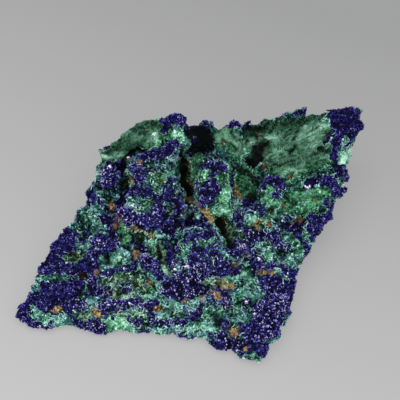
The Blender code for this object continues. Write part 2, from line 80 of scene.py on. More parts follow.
# Patches of the crust, by the picture points that run through them and a half width in pixels
azuritePatches = {
    "backPeak": ([(164, 118), (172, 117), (184, 121)], 6),
    "peakFoot": ([(165, 128)], 4.5),
    "plateBead": ([(106, 148)], 4.5),
    "crestStrip": ([(142, 158), (152, 153), (162, 152), (173, 145)], 5),
    "brightBall": ([(105, 176), (110, 166), (117, 168), (114, 182), (104, 186)], 6.5),
    "ridgeBead": ([(130, 157)], 3.5),
    "massifSpot": ([(137, 170), (141, 168), (137, 178)], 5.5),
    "massifSpecks": ([(150, 170), (152, 184)], 3),
    "massifSpecksRight": ([(168, 178), (165, 192)], 3),
    "massifBrow": ([(121, 197), (133, 192), (143, 191), (152, 194)], 4),
    "wedgeLeft": ([(116, 202), (121, 210), (128, 216)], 5.5),
    "wedgeFront": ([(136, 221), (146, 223), (157, 216), (160, 206)], 7.5),
    "wedgeTop": ([(157, 200), (162, 198)], 4),
    "farBead": ([(90, 190)], 3.5),
    "nearBead": ([(94, 199)], 5.5),
    "leftLace": ([(101, 219), (108, 220)], 4.5),
    "leftLaceHigh": ([(107, 209)], 3.5),
    "blockTop": ([(207, 164), (214, 167), (225, 168)], 4.5),
    "blockNeck": ([(213, 174)], 3),
    "blockFront": ([(206, 183), (214, 184), (210, 197), (216, 190), (204, 193)], 4.8),
    "rimLeft": ([(222, 126), (233, 124), (247, 123)], 4),
    "rimMiddle": ([(262, 124)], 3.5),
    "rimRight": ([(284, 116), (294, 114), (304, 112), (300, 115)], 4),
    "cornerCap": ([(337, 114), (346, 121), (354, 114), (342, 126)], 9),
    "cornerEdge": ([(353, 128), (352, 134)], 4.5),
    "cornerDrop": ([(338, 138), (335, 148), (333, 156)], 3.5),
    "cornerBead": ([(361, 128)], 4.5),
    "cornerSpecks": ([(326, 142), (331, 134)], 3),
    "toothCap": ([(264, 184), (273, 180), (283, 182)], 5),
    "toothFront": ([(278, 190), (276, 196)], 5),
    "rightCapFar": ([(338, 167), (346, 173)], 6),
    "rightCapEdge": ([(347, 184), (345, 190)], 4.5),
    "rightStrip": ([(312, 184), (322, 180), (333, 181)], 5.5),
    "rightStripLow": ([(335, 192)], 5.5),
    "rightBeadHigh": ([(326, 203)], 3),
    "rightBeadLow": ([(331, 213), (329, 219)], 4),
    "rightLump": ([(314, 216), (321, 223), (309, 229), (316, 233), (322, 231)], 6.5),
    "rightLumpLeft": ([(289, 229), (297, 226)], 5),
    "lowerEdge": ([(301, 238), (296, 233)], 4),
    "notchTop": ([(246, 205), (252, 208)], 5),
    "notchRight": ([(263, 213)], 4),
    "underNotch": ([(248, 230), (254, 236)], 5),
    "underNotchRight": ([(263, 233)], 4),
    "rightOval": ([(277, 239), (282, 246)], 6),
    "creviceEnd": ([(237, 243), (246, 247), (238, 252)], 4),
    "creviceRight": ([(254, 257), (258, 266)], 5.5),
    "flankTop": ([(62, 229), (58, 242), (68, 236)], 8),
    "flankMiddle": ([(54, 254), (66, 246)], 7),
    "flankLow": ([(41, 270), (50, 263), (60, 262)], 7),
    "flankInner": ([(64, 271), (75, 267), (84, 262)], 5),
    "leftLump": ([(94, 247), (102, 240), (110, 246)], 7),
    "leftLumpLow": ([(92, 258), (92, 268)], 6.5),
    "leftLumpHigh": ([(87, 236)], 4),
    "leftBand": ([(60, 289), (70, 293), (78, 285), (62, 299)], 8),
    "leftBandOuter": ([(45, 288), (40, 298), (48, 304)], 7),
    "leftTip": ([(30, 302), (23, 312), (20, 316), (27, 318)], 6),
    "tipFringe": ([(30, 323), (42, 325), (50, 323)], 4.5),
    "frontLeft": ([(68, 312), (76, 307), (84, 304)], 5),
    "shelfLeft": ([(91, 279), (94, 288), (92, 294)], 5),
    "shelfMiddle": ([(104, 274), (113, 270)], 4.5),
    "shelfBead": ([(123, 269), (132, 266)], 4),
    "shelfLow": ([(97, 293), (105, 293)], 4.5),
    "shelfSpot": ([(127, 288)], 5),
    "frontMiddle": ([(107, 311), (113, 306), (122, 304)], 5),
    "frontMiddleRight": ([(128, 303), (139, 297)], 4.5),
    "frontToe": ([(82, 325), (92, 324), (101, 329), (108, 331)], 4.5),
    "frontSpot": ([(113, 316)], 5.5),
    "apronLeft": ([(131, 321), (139, 322)], 4.5),
    "apronMiddle": ([(147, 306), (155, 304), (152, 320)], 5),
    "apronFringe": ([(140, 332), (149, 332)], 3.5),
    "beadHigh": ([(145, 252), (141, 247)], 4.5),
    "beadLow": ([(147, 263), (156, 264)], 6.5),
    "beadRight": ([(159, 274)], 4.5),
    "heartTop": ([(184, 226), (193, 224), (202, 227)], 6.5),
    "heartMiddle": ([(187, 237), (205, 237), (212, 232)], 5),
    "heartLow": ([(197, 248), (208, 248)], 4),
    "bulgeLeft": ([(172, 252), (170, 262)], 6.5),
    "bulgeTop": ([(214, 254), (228, 257), (232, 249)], 4.5),
    "bulgeFront": ([(192, 262), (202, 268), (214, 268), (226, 267), (234, 272)], 8),
    "bulgeToe": ([(184, 280), (196, 281)], 7),
    "bulgeUnder": ([(162, 291), (172, 293), (180, 290)], 5),
    "bulgeUnderLeft": ([(170, 281)], 5),
    "bulgeUnderRight": ([(203, 289), (190, 296)], 4.5),
    "lobeTop": ([(283, 270), (292, 273), (295, 282)], 6),
    "lobeHigh": ([(271, 283), (281, 290), (275, 299), (288, 298)], 8.5),
    "lobeMiddle": ([(262, 309), (272, 314), (284, 310)], 9),
    "lobeLow": ([(254, 325), (264, 331), (274, 325)], 8.5),
    "lobeToe": ([(258, 342), (249, 344), (265, 350)], 7),
    "glintSeat": ([(247, 302)], 4),
    "hollowLeft": ([(222, 297), (229, 300)], 4),
    "hollowLow": ([(203, 304), (199, 312), (193, 316)], 4),
    "pitRight": ([(225, 322)], 5),
    "apronBand": ([(160, 323), (171, 322), (184, 322)], 4),
    "apronToe": ([(182, 336), (190, 337)], 3.5),
    "cornerToe": ([(214, 337), (222, 335)], 4),
    "cornerToeLow": ([(216, 347), (228, 346), (236, 342)], 5.5),
}

# The same for malachite, with a tone from 0 for dark green to 1 for the palest; some tones are partly painted
# light and shade: paler on lit flanks and edges (crestRight, plateEdge, blockFlank, bowlBright) and darker on
# the shaded back of the bowl (bowlBack)
malachitePatches = {
    "plate": ([(112, 153), (125, 145), (140, 132), (152, 124), (132, 150)], 9, 0.08),
    "plateLight": ([(136, 139)], 8, 1.0),
    "plateEdge": ([(102, 158), (109, 157), (121, 156)], 4.5, 1.0),
    "ballSeat": ([(97, 170), (95, 182)], 4.5, 0.95),
    "ballGreen": ([(114, 173)], 5.5, 0.6),
    "ballUnder": ([(102, 193), (110, 197), (117, 192)], 4.5, 0.2),
    "crestLeft": ([(153, 133), (155, 143), (150, 143)], 6.5, 0.8),
    "crestRight": ([(175, 132), (183, 134), (186, 144), (183, 150)], 5.5, 0.9),
    "massifFlank": ([(176, 162), (178, 178), (177, 192)], 4, 0.45),
    "massifGreen": ([(150, 168), (156, 178), (157, 187), (166, 172)], 5, 0.42),
    "massifTop": ([(165, 160), (171, 157)], 2.5, 0.0),
    "massifTeal": ([(148, 200), (165, 204), (170, 212)], 2.5, 0.25),
    "lace": ([(93, 206), (96, 214), (92, 222), (100, 228)], 4.5, 0.7),
    "farLeft": ([(84, 208), (78, 220), (86, 228), (80, 226)], 6, 0.3),
    "wedgeSparkle": ([(129, 203), (139, 203), (147, 209)], 4.5, 0.68),
    "blockBody": ([(196, 163), (193, 178), (198, 174)], 7, 0.68),
    "blockAqua": ([(205, 173)], 4.5, 0.85),
    "blockFlank": ([(229, 176), (230, 190), (227, 202), (221, 213)], 8, 0.84),
    "blockSide": ([(193, 182), (196, 196)], 4, 0.35),
    "blockLeft": ([(198, 168), (202, 177)], 4.5, 0.62),
    "blockShoulder": ([(221, 176), (221, 183)], 4, 0.1),
    "blockToe": ([(214, 212), (219, 209)], 4, 0.8),
    "farKnob": ([(221, 134), (235, 137), (242, 148), (223, 151), (244, 158)], 8, 0.46),
    "bowlBack": ([(250, 132), (268, 127), (285, 124), (300, 121), (315, 117)], 9, 0.0),
    "bowlMiddle": ([(272, 150), (285, 143), (293, 136)], 8, 0.36),
    "bowlBright": ([(304, 138), (314, 130), (320, 126), (313, 144)], 10, 0.58),
    "bowlFront": ([(272, 167), (290, 160), (305, 155), (322, 155), (310, 168)], 9, 0.26),
    "bowlLip": ([(272, 157), (280, 152)], 5, 0.3),
    "edgePale": ([(354, 143), (350, 150), (345, 158), (341, 164)], 5, 1.0),
    "cornerGreen": ([(341, 147), (345, 141)], 4, 0.65),
    "toothFlank": ([(268, 192), (271, 203), (275, 201)], 5.5, 0.75),
    "toothSide": ([(288, 183), (287, 192), (296, 188)], 5, 0.45),
    "bowlFoot": ([(284, 172), (298, 175), (312, 172), (326, 170)], 5, 0.35),
    "toothLeft": ([(256, 188), (260, 196)], 5, 0.22),
    "ridgeBright": ([(300, 196), (310, 191), (325, 192)], 6, 0.72),
    "ridgeGreen": ([(289, 206), (300, 205), (311, 200)], 8, 0.55),
    "ridgeLow": ([(295, 213), (308, 209), (321, 208)], 6, 0.5),
    "ridgeToe": ([(282, 212), (275, 214)], 5, 0.7),
    "edgeNotch": ([(326, 222), (322, 236), (316, 241)], 4.5, 1.0),
    "edgeNotchHigh": ([(335, 203)], 3.5, 0.9),
    "belowBowl": ([(240, 178), (245, 187)], 5, 0.35),
    "notchTeal": ([(238, 206)], 4.5, 1.0),
    "notchGreen": ([(249, 221), (262, 222), (267, 216)], 5, 0.85),
    "creviceGreen": ([(231, 229), (236, 237)], 5, 0.55),
    "rightGreens": ([(264, 250), (272, 256), (279, 263)], 5.5, 0.75),
    "rightRing": ([(288, 240)], 6, 0.9),
    "edgeGreen": ([(300, 248), (293, 256), (289, 263)], 5, 0.65),
    "edgeGreenHigh": ([(304, 234)], 4.5, 0.5),
    "heartGreens": ([(199, 238), (190, 233)], 2.5, 0.15),
    "heartTeal": ([(212, 242), (200, 243)], 3.5, 0.8),
    "bulgeGreens": ([(182, 249), (185, 257)], 4, 0.38),
    "ring": ([(162, 244), (163, 258), (166, 270), (170, 275)], 2.2, 0.62),
    "crackLight": ([(222, 252), (229, 259), (237, 263)], 2.5, 0.65),
    "underBulge": ([(206, 283), (215, 281), (230, 280), (240, 276)], 4, 0.85),
    "tealPatch": ([(245, 278), (254, 284), (250, 293), (260, 294), (241, 289)], 7, 0.76),
    "lobeLeft": ([(235, 305), (240, 314), (236, 320), (245, 317)], 5, 0.75),
    "hollowGreen": ([(207, 308), (216, 312)], 5, 0.58),
    "apronGreen": ([(159, 300), (171, 303), (180, 306)], 4.5, 0.95),
    "apronPale": ([(162, 314), (172, 312)], 5.5, 0.8),
    "apronRight": ([(193, 306), (200, 297)], 5, 0.95),
    "apronEdge": ([(176, 328), (190, 330), (203, 328), (213, 330)], 4.5, 1.0),
    "apronEdgeLow": ([(199, 336), (203, 338)], 5.5, 1.0),
    "apronEdgeLeft": ([(155, 330), (166, 330)], 3.5, 0.9),
    "frontPale": ([(111, 324), (121, 323), (128, 327)], 7, 0.97),
    "frontGreen": ([(125, 313), (143, 313)], 4, 0.8),
    "frontStep": ([(90, 302), (93, 298)], 4, 0.75),
    "frontOlive": ([(82, 316), (90, 312)], 4, 0.7),
    "tipGreen": ([(35, 312), (39, 317), (46, 321)], 4.5, 0.95),
    "tipGreenRight": ([(56, 322), (66, 324), (62, 316)], 4, 1.0),
    "flankCorner": ([(84, 212), (88, 222)], 5, 0.4),
    "stripe": ([(124, 226), (125, 238), (123, 248)], 4.5, 0.72),
    "stripeFoot": ([(114, 257), (120, 252), (128, 252)], 4.5, 0.8),
    "saddle": ([(103, 261), (106, 267), (119, 260), (127, 259)], 4.5, 1.0),
    "flankTeal": ([(87, 245), (82, 250)], 4.5, 0.9),
    "flankOlive": ([(69, 259), (78, 255)], 5, 0.38),
    "bandOuter": ([(38, 281), (35, 288)], 3.5, 0.85),
    "bandGreen": ([(48, 278), (58, 278), (64, 275)], 3.2, 0.75),
    "bandInner": ([(84, 285), (86, 292)], 3.5, 0.55),
    "boxwork": ([(121, 281), (130, 277), (141, 279), (135, 290), (148, 291)], 6.5, 0.44),
    "boxworkLow": ([(112, 286), (118, 296), (155, 297)], 4.5, 0.92),
    "cornerTip": ([(255, 357), (249, 359)], 4, 0.2),
    "cornerTipRight": ([(270, 346)], 4.5, 0.9),
    "hangingBit": ([(287, 319), (284, 325)], 3.5, 0.35),
}

# The same for limonite, with a tone from 0 for dark brown to 1 for pale orange
limonitePatches = {
    "slotWall": ([(184, 157), (188, 166), (187, 174)], 3.4, 0.0),
    "slotFoot": ([(191, 184)], 3.5, 0.5),
    "slotMouth": ([(183, 197), (191, 201)], 3, 0.4),
    "tanBand": ([(191, 201), (198, 206), (206, 213), (212, 220)], 3.8, 0.75),
    "tanBandLeft": ([(186, 216)], 3.5, 0.7),
    "massifYellow": ([(127, 177), (131, 181)], 2.8, 0.85),
    "massifPale": ([(138, 163)], 2.8, 0.6),
    "wedgeEdge": ([(110, 203), (112, 208)], 2.8, 0.85),
    "wedgeFoot": ([(114, 217), (120, 221), (115, 225)], 3.2, 0.3),
    "wedgeUnder": ([(132, 228), (139, 231)], 3, 0.65),
    "wedgeUnderRight": ([(147, 233), (154, 234)], 3, 0.85),
    "beadSide": ([(138, 258), (136, 252)], 4, 0.8),
    "beadRight": ([(158, 253)], 3, 0.75),
    "bowlRoot": ([(258, 137)], 3, 0.1),
    "bowlNub": ([(262, 162), (265, 165)], 4.5, 0.1),
    "nearNub": ([(236, 190), (240, 196)], 4.5, 0.7),
    "creviceWall": ([(224, 217), (226, 224)], 3.5, 0.15),
    "bowlSpot": ([(289, 177)], 3, 0.48),
    "farKnobCrack": ([(222, 145), (227, 143)], 2.5, 0.25),
    "notchLeft": ([(256, 227), (258, 222)], 3, 0.8),
    "notchSide": ([(269, 224)], 3.2, 0.45),
    "notchFoot": ([(273, 211)], 3.5, 0.0),
    "ridgeLeft": ([(283, 205)], 3, 0.65),
    "ridgeFoot": ([(292, 222), (300, 219)], 2.8, 0.45),
    "ridgeMiddle": ([(315, 200)], 3, 0.65),
    "lipLeft": ([(217, 281)], 3.5, 0.5),
    "lipRight": ([(226, 287), (229, 286)], 5, 1.0),
    "lipFoot": ([(214, 291), (218, 297)], 3.5, 0.85),
    "lipYellow": ([(201, 297)], 3.8, 1.0),
    "lobeTop": ([(261, 272), (273, 272)], 3.2, 0.65),
    "creviceEnd": ([(236, 264)], 3, 0.45),
    "apronSpot": ([(183, 302)], 3, 0.6),
    "cornerLine": ([(232, 329), (235, 333)], 3.5, 0.85),
    "apronDark": ([(158, 308)], 3.5, 0.55),
    "frontLump": ([(96, 309), (99, 315)], 3.2, 1.0),
    "tipLine": ([(54, 310), (59, 308)], 3, 0.8),
    "boxworkSpot": ([(149, 283)], 3.5, 0.4),
    "shelfSpot": ([(96, 273)], 3, 0.7),
    "creviceRight": ([(245, 256)], 3, 0.0),
    "cornerPale": ([(246, 348)], 2.8, 1.0),
    "leftBandBrown": ([(84, 276), (78, 279)], 3.2, 0.1),
}

# Deep places that get painted shade, with a tone from 0 for lightly shaded to 1 for black
paintedShadePlaces = {
    "backHollow": ([(194, 131), (204, 134), (204, 146), (197, 150)], 8.5, 1.0),
    "slot": ([(185, 150), (185, 165), (184, 182), (188, 192)], 5.5, 1.0),
    "knobCrack": ([(221, 141), (230, 145), (236, 151)], 2, 0.75),
    "knobCrackTop": ([(231, 132), (238, 139), (247, 142)], 1.8, 0.7),
    "bowlPit": ([(291, 152), (289, 156)], 2.6, 0.75),
    "bowlPitRight": ([(321, 149), (326, 151)], 2.4, 0.6),
    "bowlCrease": ([(295, 147), (294, 138), (299, 130)], 2, 0.5),
    "bowlUnder": ([(276, 163), (281, 166), (286, 164)], 2.2, 0.65),
    "bowlEdge": ([(328, 162), (336, 164)], 2.4, 0.6),
    "bowlRoot": ([(256, 149), (257, 158), (253, 164), (264, 146)], 5.5, 1.0),
    "rimShade": ([(248, 128), (262, 130)], 4, 0.9),
    "belowBowl": ([(239, 168), (248, 172), (254, 181)], 4.5, 0.85),
    "ballGap": ([(124, 163), (121, 171), (120, 182), (127, 188)], 4, 0.8),
    "ballShade": ([(115, 190), (106, 190), (99, 187)], 2.5, 0.7),
    "crevice": ([(219, 222), (223, 231), (230, 240), (233, 247)], 4.2, 1.0),
    "toothRoot": ([(255, 202), (250, 195)], 4, 0.85),
    "toothShade": ([(262, 176), (256, 184)], 3, 0.7),
    "apronPit": ([(214, 315), (217, 322)], 4, 0.9),
    "apronHole": ([(172, 315)], 2.2, 0.8),
    "boxworkHole": ([(118, 299)], 3, 0.8),
    "rimTrough": ([(139, 151), (131, 154)], 3.5, 0.85),
    "underWedge": ([(133, 238), (140, 243)], 4, 0.7),
    "ringShade": ([(158, 247), (159, 258)], 2.5, 0.8),
    "heartCrack": ([(172, 205), (168, 214)], 2.5, 0.8),
    "massifFoot": ([(176, 200), (180, 212), (176, 222)], 3, 0.7),
    "bulgeShade": ([(176, 282), (165, 285)], 2.5, 0.6),
    "heartTop": ([(184, 227), (193, 225)], 4, 0.3),
    "bowlFold": ([(252, 136), (262, 139)], 3, 0.6),
    "notchFoot": ([(272, 211)], 3.5, 0.5),
}

# Places where single beads of azurite and malachite are mixed
mixedPlaces = {
    "massif": ([(140, 165), (152, 172), (165, 182), (150, 186), (170, 165)], 11),
    "leftLace": ([(94, 209), (96, 218), (104, 224)], 7.5),
    "wedgeBase": ([(128, 203), (145, 206), (165, 208)], 6),
    "heart": ([(188, 242), (202, 240), (210, 246)], 8),
    "shelf": ([(100, 280), (115, 285), (130, 281), (148, 290), (112, 296)], 10),
    "front": ([(76, 313), (100, 312), (125, 310), (150, 312), (175, 310), (200, 305)], 10),
    "frontEdge": ([(110, 328), (150, 328), (190, 332), (215, 338)], 7),
    "lobeLeft": ([(205, 300), (220, 305), (238, 312), (230, 325)], 11),
    "right": ([(245, 245), (262, 250), (280, 245), (290, 255), (270, 262)], 10),
    "notch": ([(240, 212), (255, 218), (266, 225), (245, 228)], 8),
    "bulge": ([(175, 262), (195, 272), (215, 262), (235, 262)], 8),
    "tealPatch": ([(246, 281), (256, 290)], 8),
    "shelfRight": ([(122, 240), (130, 262), (118, 268)], 8),
    "flankTop": ([(84, 232), (80, 250)], 6),
}

# Places where many pale crystals show: the azurite is painted paler there, as painted sparkle and as painted
# light on shaded undersides
paintedSparklePlaces = {
    "ball": ([(108, 168), (104, 176), (110, 182)], 8),
    "massifLeft": ([(138, 172), (134, 182)], 6),
    "wedge": ([(128, 203), (140, 206), (152, 211), (133, 212)], 8),
    "wedgeFront": ([(132, 220), (146, 222), (158, 214), (120, 212)], 8),
    "lobeLeft": ([(212, 303), (224, 300), (236, 314)], 9),
    "rightBeads": ([(262, 240), (284, 246), (270, 256)], 9),
    "bulge": ([(172, 266), (186, 268), (190, 280), (206, 268), (176, 276)], 9),
    "bead": ([(148, 262), (154, 254)], 6),
    "leftLump": ([(96, 248), (104, 242)], 7),
    "creviceEnd": ([(240, 245), (258, 259)], 7),
    "lobe": ([(272, 292), (284, 304), (256, 312), (270, 318), (262, 335)], 11),
    "front": ([(76, 306), (110, 306), (140, 304), (165, 320)], 8),
    "right": ([(250, 235), (280, 240), (296, 228)], 8),
    "ridge": ([(303, 189), (312, 188), (320, 190)], 5),
    "crest": ([(154, 133), (174, 132)], 6),
    "bulgeToe": ([(168, 288), (184, 280), (197, 281), (203, 289), (192, 295)], 12),
    "apron": ([(131, 321), (152, 320), (171, 322), (186, 336)], 9),
    "corner": ([(216, 337), (228, 346), (238, 340)], 9),
    "hollow": ([(204, 304), (194, 316)], 7),
    "frontToe": ([(82, 325), (101, 329), (44, 325)], 9),
    "shelf": ([(92, 282), (100, 293)], 8),
    "beads": ([(145, 252), (159, 274)], 7),
    "wedgeTop": ([(157, 200)], 6),
    "glintSeat": ([(247, 302)], 8),
    "cornerEdge": ([(353, 130), (352, 138)], 5),
    "tooth": ([(278, 190), (276, 196)], 5),
    "underNotch": ([(248, 230), (254, 236)], 6),
}

# Places where the malachite is smooth and clean
cleanPlaces = {
    "plate": ([(112, 152), (130, 145), (150, 128)], 13),
    "bowl": ([(262, 140), (285, 138), (310, 135), (310, 148), (290, 157)], 20),
    "corner": ([(337, 115), (350, 119), (352, 134)], 11),
    "farKnob": ([(222, 137), (236, 140), (242, 150)], 9),
    "edge": ([(354, 143), (349, 152), (343, 162)], 6),
}

# Places where the malachite is pure green, and less mixed
greenPlaces = {
    "farKnob": ([(225, 140), (240, 148)], 13),
    "crest": ([(154, 138), (180, 138)], 8),
    "block": ([(197, 162), (194, 178), (229, 170), (230, 190), (222, 212)], 9),
    "tooth": ([(266, 190), (271, 203)], 8),
    "ridge": ([(289, 205), (300, 196), (325, 192), (308, 208)], 9),
    "stripe": ([(124, 228), (125, 240)], 6),
    "massif": ([(157, 180), (178, 175)], 5),
    "bowlEdge": ([(275, 170), (300, 168), (325, 160)], 9),
    "belowBowl": ([(240, 178), (252, 178), (246, 190)], 9),
    "edge": ([(350, 150), (330, 232), (330, 205)], 6),
    "frontPale": ([(110, 325), (124, 325)], 7),
    "notch": ([(250, 222), (262, 222)], 5),
}

# Places where the malachite turns to olive
olivePlaces = {
    "boxwork": ([(104, 284), (121, 281), (135, 279), (141, 288), (112, 296)], 8),
    "flank": ([(69, 259), (78, 255), (84, 276)], 7),
    "front": ([(82, 316), (90, 312), (143, 313)], 5),
    "lip": ([(206, 283), (222, 281), (214, 293)], 6),
    "wedgeFoot": ([(122, 222), (136, 232), (150, 236)], 6),
    "crevice": ([(224, 226), (236, 240), (262, 222)], 6),
    "massif": ([(156, 172), (163, 182)], 5),
    "slot": ([(187, 165), (184, 190), (176, 212)], 6),
    "ring": ([(163, 246), (164, 260), (168, 274)], 5),
}

# Thin raised ridges of pale malachite
rimLines = {
    "ring": ([(153, 244), (158, 248), (163, 252), (165, 258), (163, 265), (166, 272), (170, 276)], 2.4),
    "creviceEdge": ([(213, 220), (217, 230), (224, 241), (232, 248)], 1.8),
    "heartRing": ([(192, 206), (200, 211), (201, 215), (195, 219)], 2),
    "underWedge": ([(133, 227), (145, 232), (157, 236), (168, 237)], 2),
    "bulge": ([(182, 251), (185, 258), (187, 263)], 2.2),
    "crack": ([(218, 249), (231, 257), (238, 264)], 2.2),
    "boxwork": ([(140, 267), (148, 272), (154, 278), (158, 286), (160, 292)], 2),
    "bowlLip": ([(268, 157), (275, 151), (284, 152), (290, 157)], 2.4),
    "bowlFold": ([(283, 175), (290, 168), (297, 171), (293, 179)], 2.2),
    "lip": ([(206, 279), (220, 277), (236, 277), (250, 272)], 2),
}

# Small corrections of the outline: picture point, reach in pixels, and shift along X, Y and Z in mm
nudges = {
    "leftShoulder": ((82, 176), 26, (1.75, 0.0, 0.0)),
    "leftShoulderTop": ((86, 158), 16, (0.8, 0.0, 0.0)),
    "leftCap": ((107, 146), 14, (-1.8, 1.0, 0.8)),
    "plateTop": ((142, 125), 26, (0.0, 0.5, 1.7)),
    "backPeak": ((178, 117), 16, (0.9, 0.0, 0.9)),
    "peakSide": ((189, 122), 9, (0.8, 0.0, 0.9)),
    "peakLeft": ((166, 117), 10, (0.0, 0.0, 0.6)),
    "hollowRim": ((202, 128), 19, (0.0, 0.4, 1.8)),
    "rimMiddle": ((262, 124), 18, (0.0, 0.3, 1.1)),
    "rimRight": ((279, 117), 14, (0.0, 0.3, 1.3)),
    "rimKnob": ((298, 113), 11, (0.0, 0.0, 0.35)),
    "rimCorner": ((322, 116), 22, (0.0, 0.3, 0.9)),
    "corner": ((353, 116), 24, (1.2, 0.2, 0.9)),
    "cornerSide": ((352, 140), 14, (0.5, 0.0, 0.0)),
    "rightEdge": ((347, 182), 16, (0.9, 0.0, 0.0)),
    "cornerTip": ((256, 356), 18, (0.4, -1.5, 0.0)),
    "frontRight": ((272, 340), 18, (0.7, 0.0, 0.0)),
    "frontEdge": ((185, 344), 32, (0.0, 1.6, 0.0)),
    "frontEdgeMiddle": ((150, 338), 26, (0.0, 1.0, 0.0)),
    "frontEdgeLeft": ((72, 332), 30, (0.0, 1.1, 0.0)),
    "flankEdge": ((58, 244), 28, (-1.5, 0.0, 0.0)),
    "rightMiddle": ((318, 230), 14, (-0.6, 0.0, 0.0)),
    "rightStep": ((304, 261), 11, (-0.8, 0.0, 0.0)),
    "lobeSide": ((297, 292), 13, (-0.5, 0.0, 0.0)),
    "hangingBit": ((285, 321), 9, (0.9, 0.0, 0.0)),
    "leftStep": ((82, 202), 12, (0.9, 0.0, 0.0)),
    "farBead": ((87, 192), 9, (-0.2, 0.0, 0.0)),
    "ballSide": ((97, 162), 12, (0.6, 0.0, 0.0)),
    "apronToe": ((205, 344), 10, (0.0, 0.45, 0.0)),
    "leftStepFoot": ((66, 224), 14, (-0.7, 0.0, 0.0)),
    "cornerLeft": ((188, 340), 13, (-0.4, -0.8, 0.0)),
    "bandEdge": ((38, 276), 18, (-0.9, 0.0, 0.0)),
    "tip": ((18, 310), 18, (-0.6, 0.0, 0.0)),
    "tipFront": ((34, 328), 15, (0.0, -0.9, 0.0)),
    "cornerBead": ((360, 129), 7, (0.7, 0.0, 0.0)),
    "cornerFoot": ((346, 158), 11, (0.5, 0.0, 0.0)),
    "rightCap": ((345, 186), 8, (0.7, 0.0, 0.0)),
}

# The radiating fan of malachite in the bowl, around a root at a picture point
fan = {
    "root": (240, 176),
    "start": (0.02, 0.2),  # radians up from the picture's right, where it sets in and where it is whole
    "end": (1.35, 1.1),  # radians, where it is gone and where it is still whole
    "hub": (12, 30),  # pixels from the root, where it sets in and where it is whole
    "reach": (125, 100),  # pixels from the root, where it is gone and where it is still whole
    "ribs": 19,  # per radian
    "ribLength": 30,  # pixels
    "ribShares": (0.96, 0.88),  # of the ribs, and of finer ones between them
    "finer": (2.4, 2.6, 1.0),  # times finer, around the root, away from it and through it
    "ribDepth": 0.36,  # mm
    "folds": 8,  # per radian
    "foldLength": 24,  # pixels
    "foldWander": 0.35,  # of a fold's width
    "foldWanderSize": 1.3,  # mm
    "foldLevel": 0.6,  # height of a fold that stays level with the crust
    "foldDepth": 0.3,  # mm
}

# Patches of the minerals, and how much of the wander their borders take
mineralPatches = {
    "azurite": (azuritePatches, 1.0),
    "malachite": (malachitePatches, 1.0),
    "limonite": (limonitePatches, 0.5),
}

# Kinds of places: how much of the wander their borders take, and the nearness where a place sets in and
# where it is whole
kinds = {
    "paintedShade": {"places": paintedShadePlaces, "wander": 0.4, "border": (-0.75, 0.5), "toned": True},
    "mixed": {"places": mixedPlaces, "wander": 1.0, "border": (-0.2, 0.5)},
    "paintedSparkle": {"places": paintedSparklePlaces, "wander": 1.0, "border": (-0.2, 0.6)},
    "clean": {"places": cleanPlaces, "wander": 1.0, "border": (-0.3, 0.3)},
    "green": {"places": greenPlaces, "wander": 1.0, "border": (-0.3, 0.3)},
    "olive": {"places": olivePlaces, "wander": 1.0, "border": (-0.3, 0.4)},
    "ridge": {"places": rimLines, "wander": 0.3, "border": (-0.1, 0.6)},
}

# What the field of the minerals is made of: it is above 0 on azurite and below 0 on malachite
mixing = {
    "patchLimits": (-0.7, 0.9),  # nearness to a patch past which it changes nothing
    "patchLoss": 0.55,  # share of the patches' say that is lost where the minerals mix
    "unknown": (-0.3, -1.6),  # nearness where the patches' reach ends, and where it is long past
    "unknownLevel": 0.1,
    "unknownNoise": 1.1,
    "least": 0.35,  # mixing outside the places for it
    "greenLoss": 0.6,  # share of the mixing that is lost where malachite is pure green
    "level": -0.04,
    "middle": 0.2,  # middle and fine noise
    "fine": 0.15,
    "bunches": 0.25,
    "beads": 0.3,
    "mixedLevel": -0.06,  # more, where the minerals mix
    "mixedLumps": 1.15,
    "mixedKinds": 0.4,
    "mixedFine": 0.45,
    "ridges": -1.2,
    "border": (-0.06, 0.08),  # field where azurite sets in, and where it is whole
    "softBorder": (-0.5, 0.5),
    "rimMiddle": -0.14,  # field at the middle of the malachite's rim around azurite
    "rimReach": 0.22,
}

# Limonite: how its patches fray, and where it shows by chance
rusting = {
    "fray": {"fine": 0.4, "middle": 0.3},
    "beadFray": 0.9,
    "border": (-0.05, 0.2),
    "chanceSizes": (2.2, 0.8),  # mm, of broad and fine noise
    "chanceFine": 0.5,
    "chance": -2.85,
    "chanceUnknown": 2.0,  # more, out of the patches' reach
}

# Tones out of the patches' reach: how much they count beside the patches' own, and how they vary with noise
tones = {
    "malachite": {"weight": 0.12, "middle": 0.45, "swing": 0.4, "noise": "middle"},
    "limonite": {"weight": 0.02, "middle": 0.3, "swing": 0.4, "noise": "fine"},
}
toneGains = {"all": 0.04, "ridge": 0.22, "tufts": 0.22, "ribs": 0.12, "folds": 0.09}

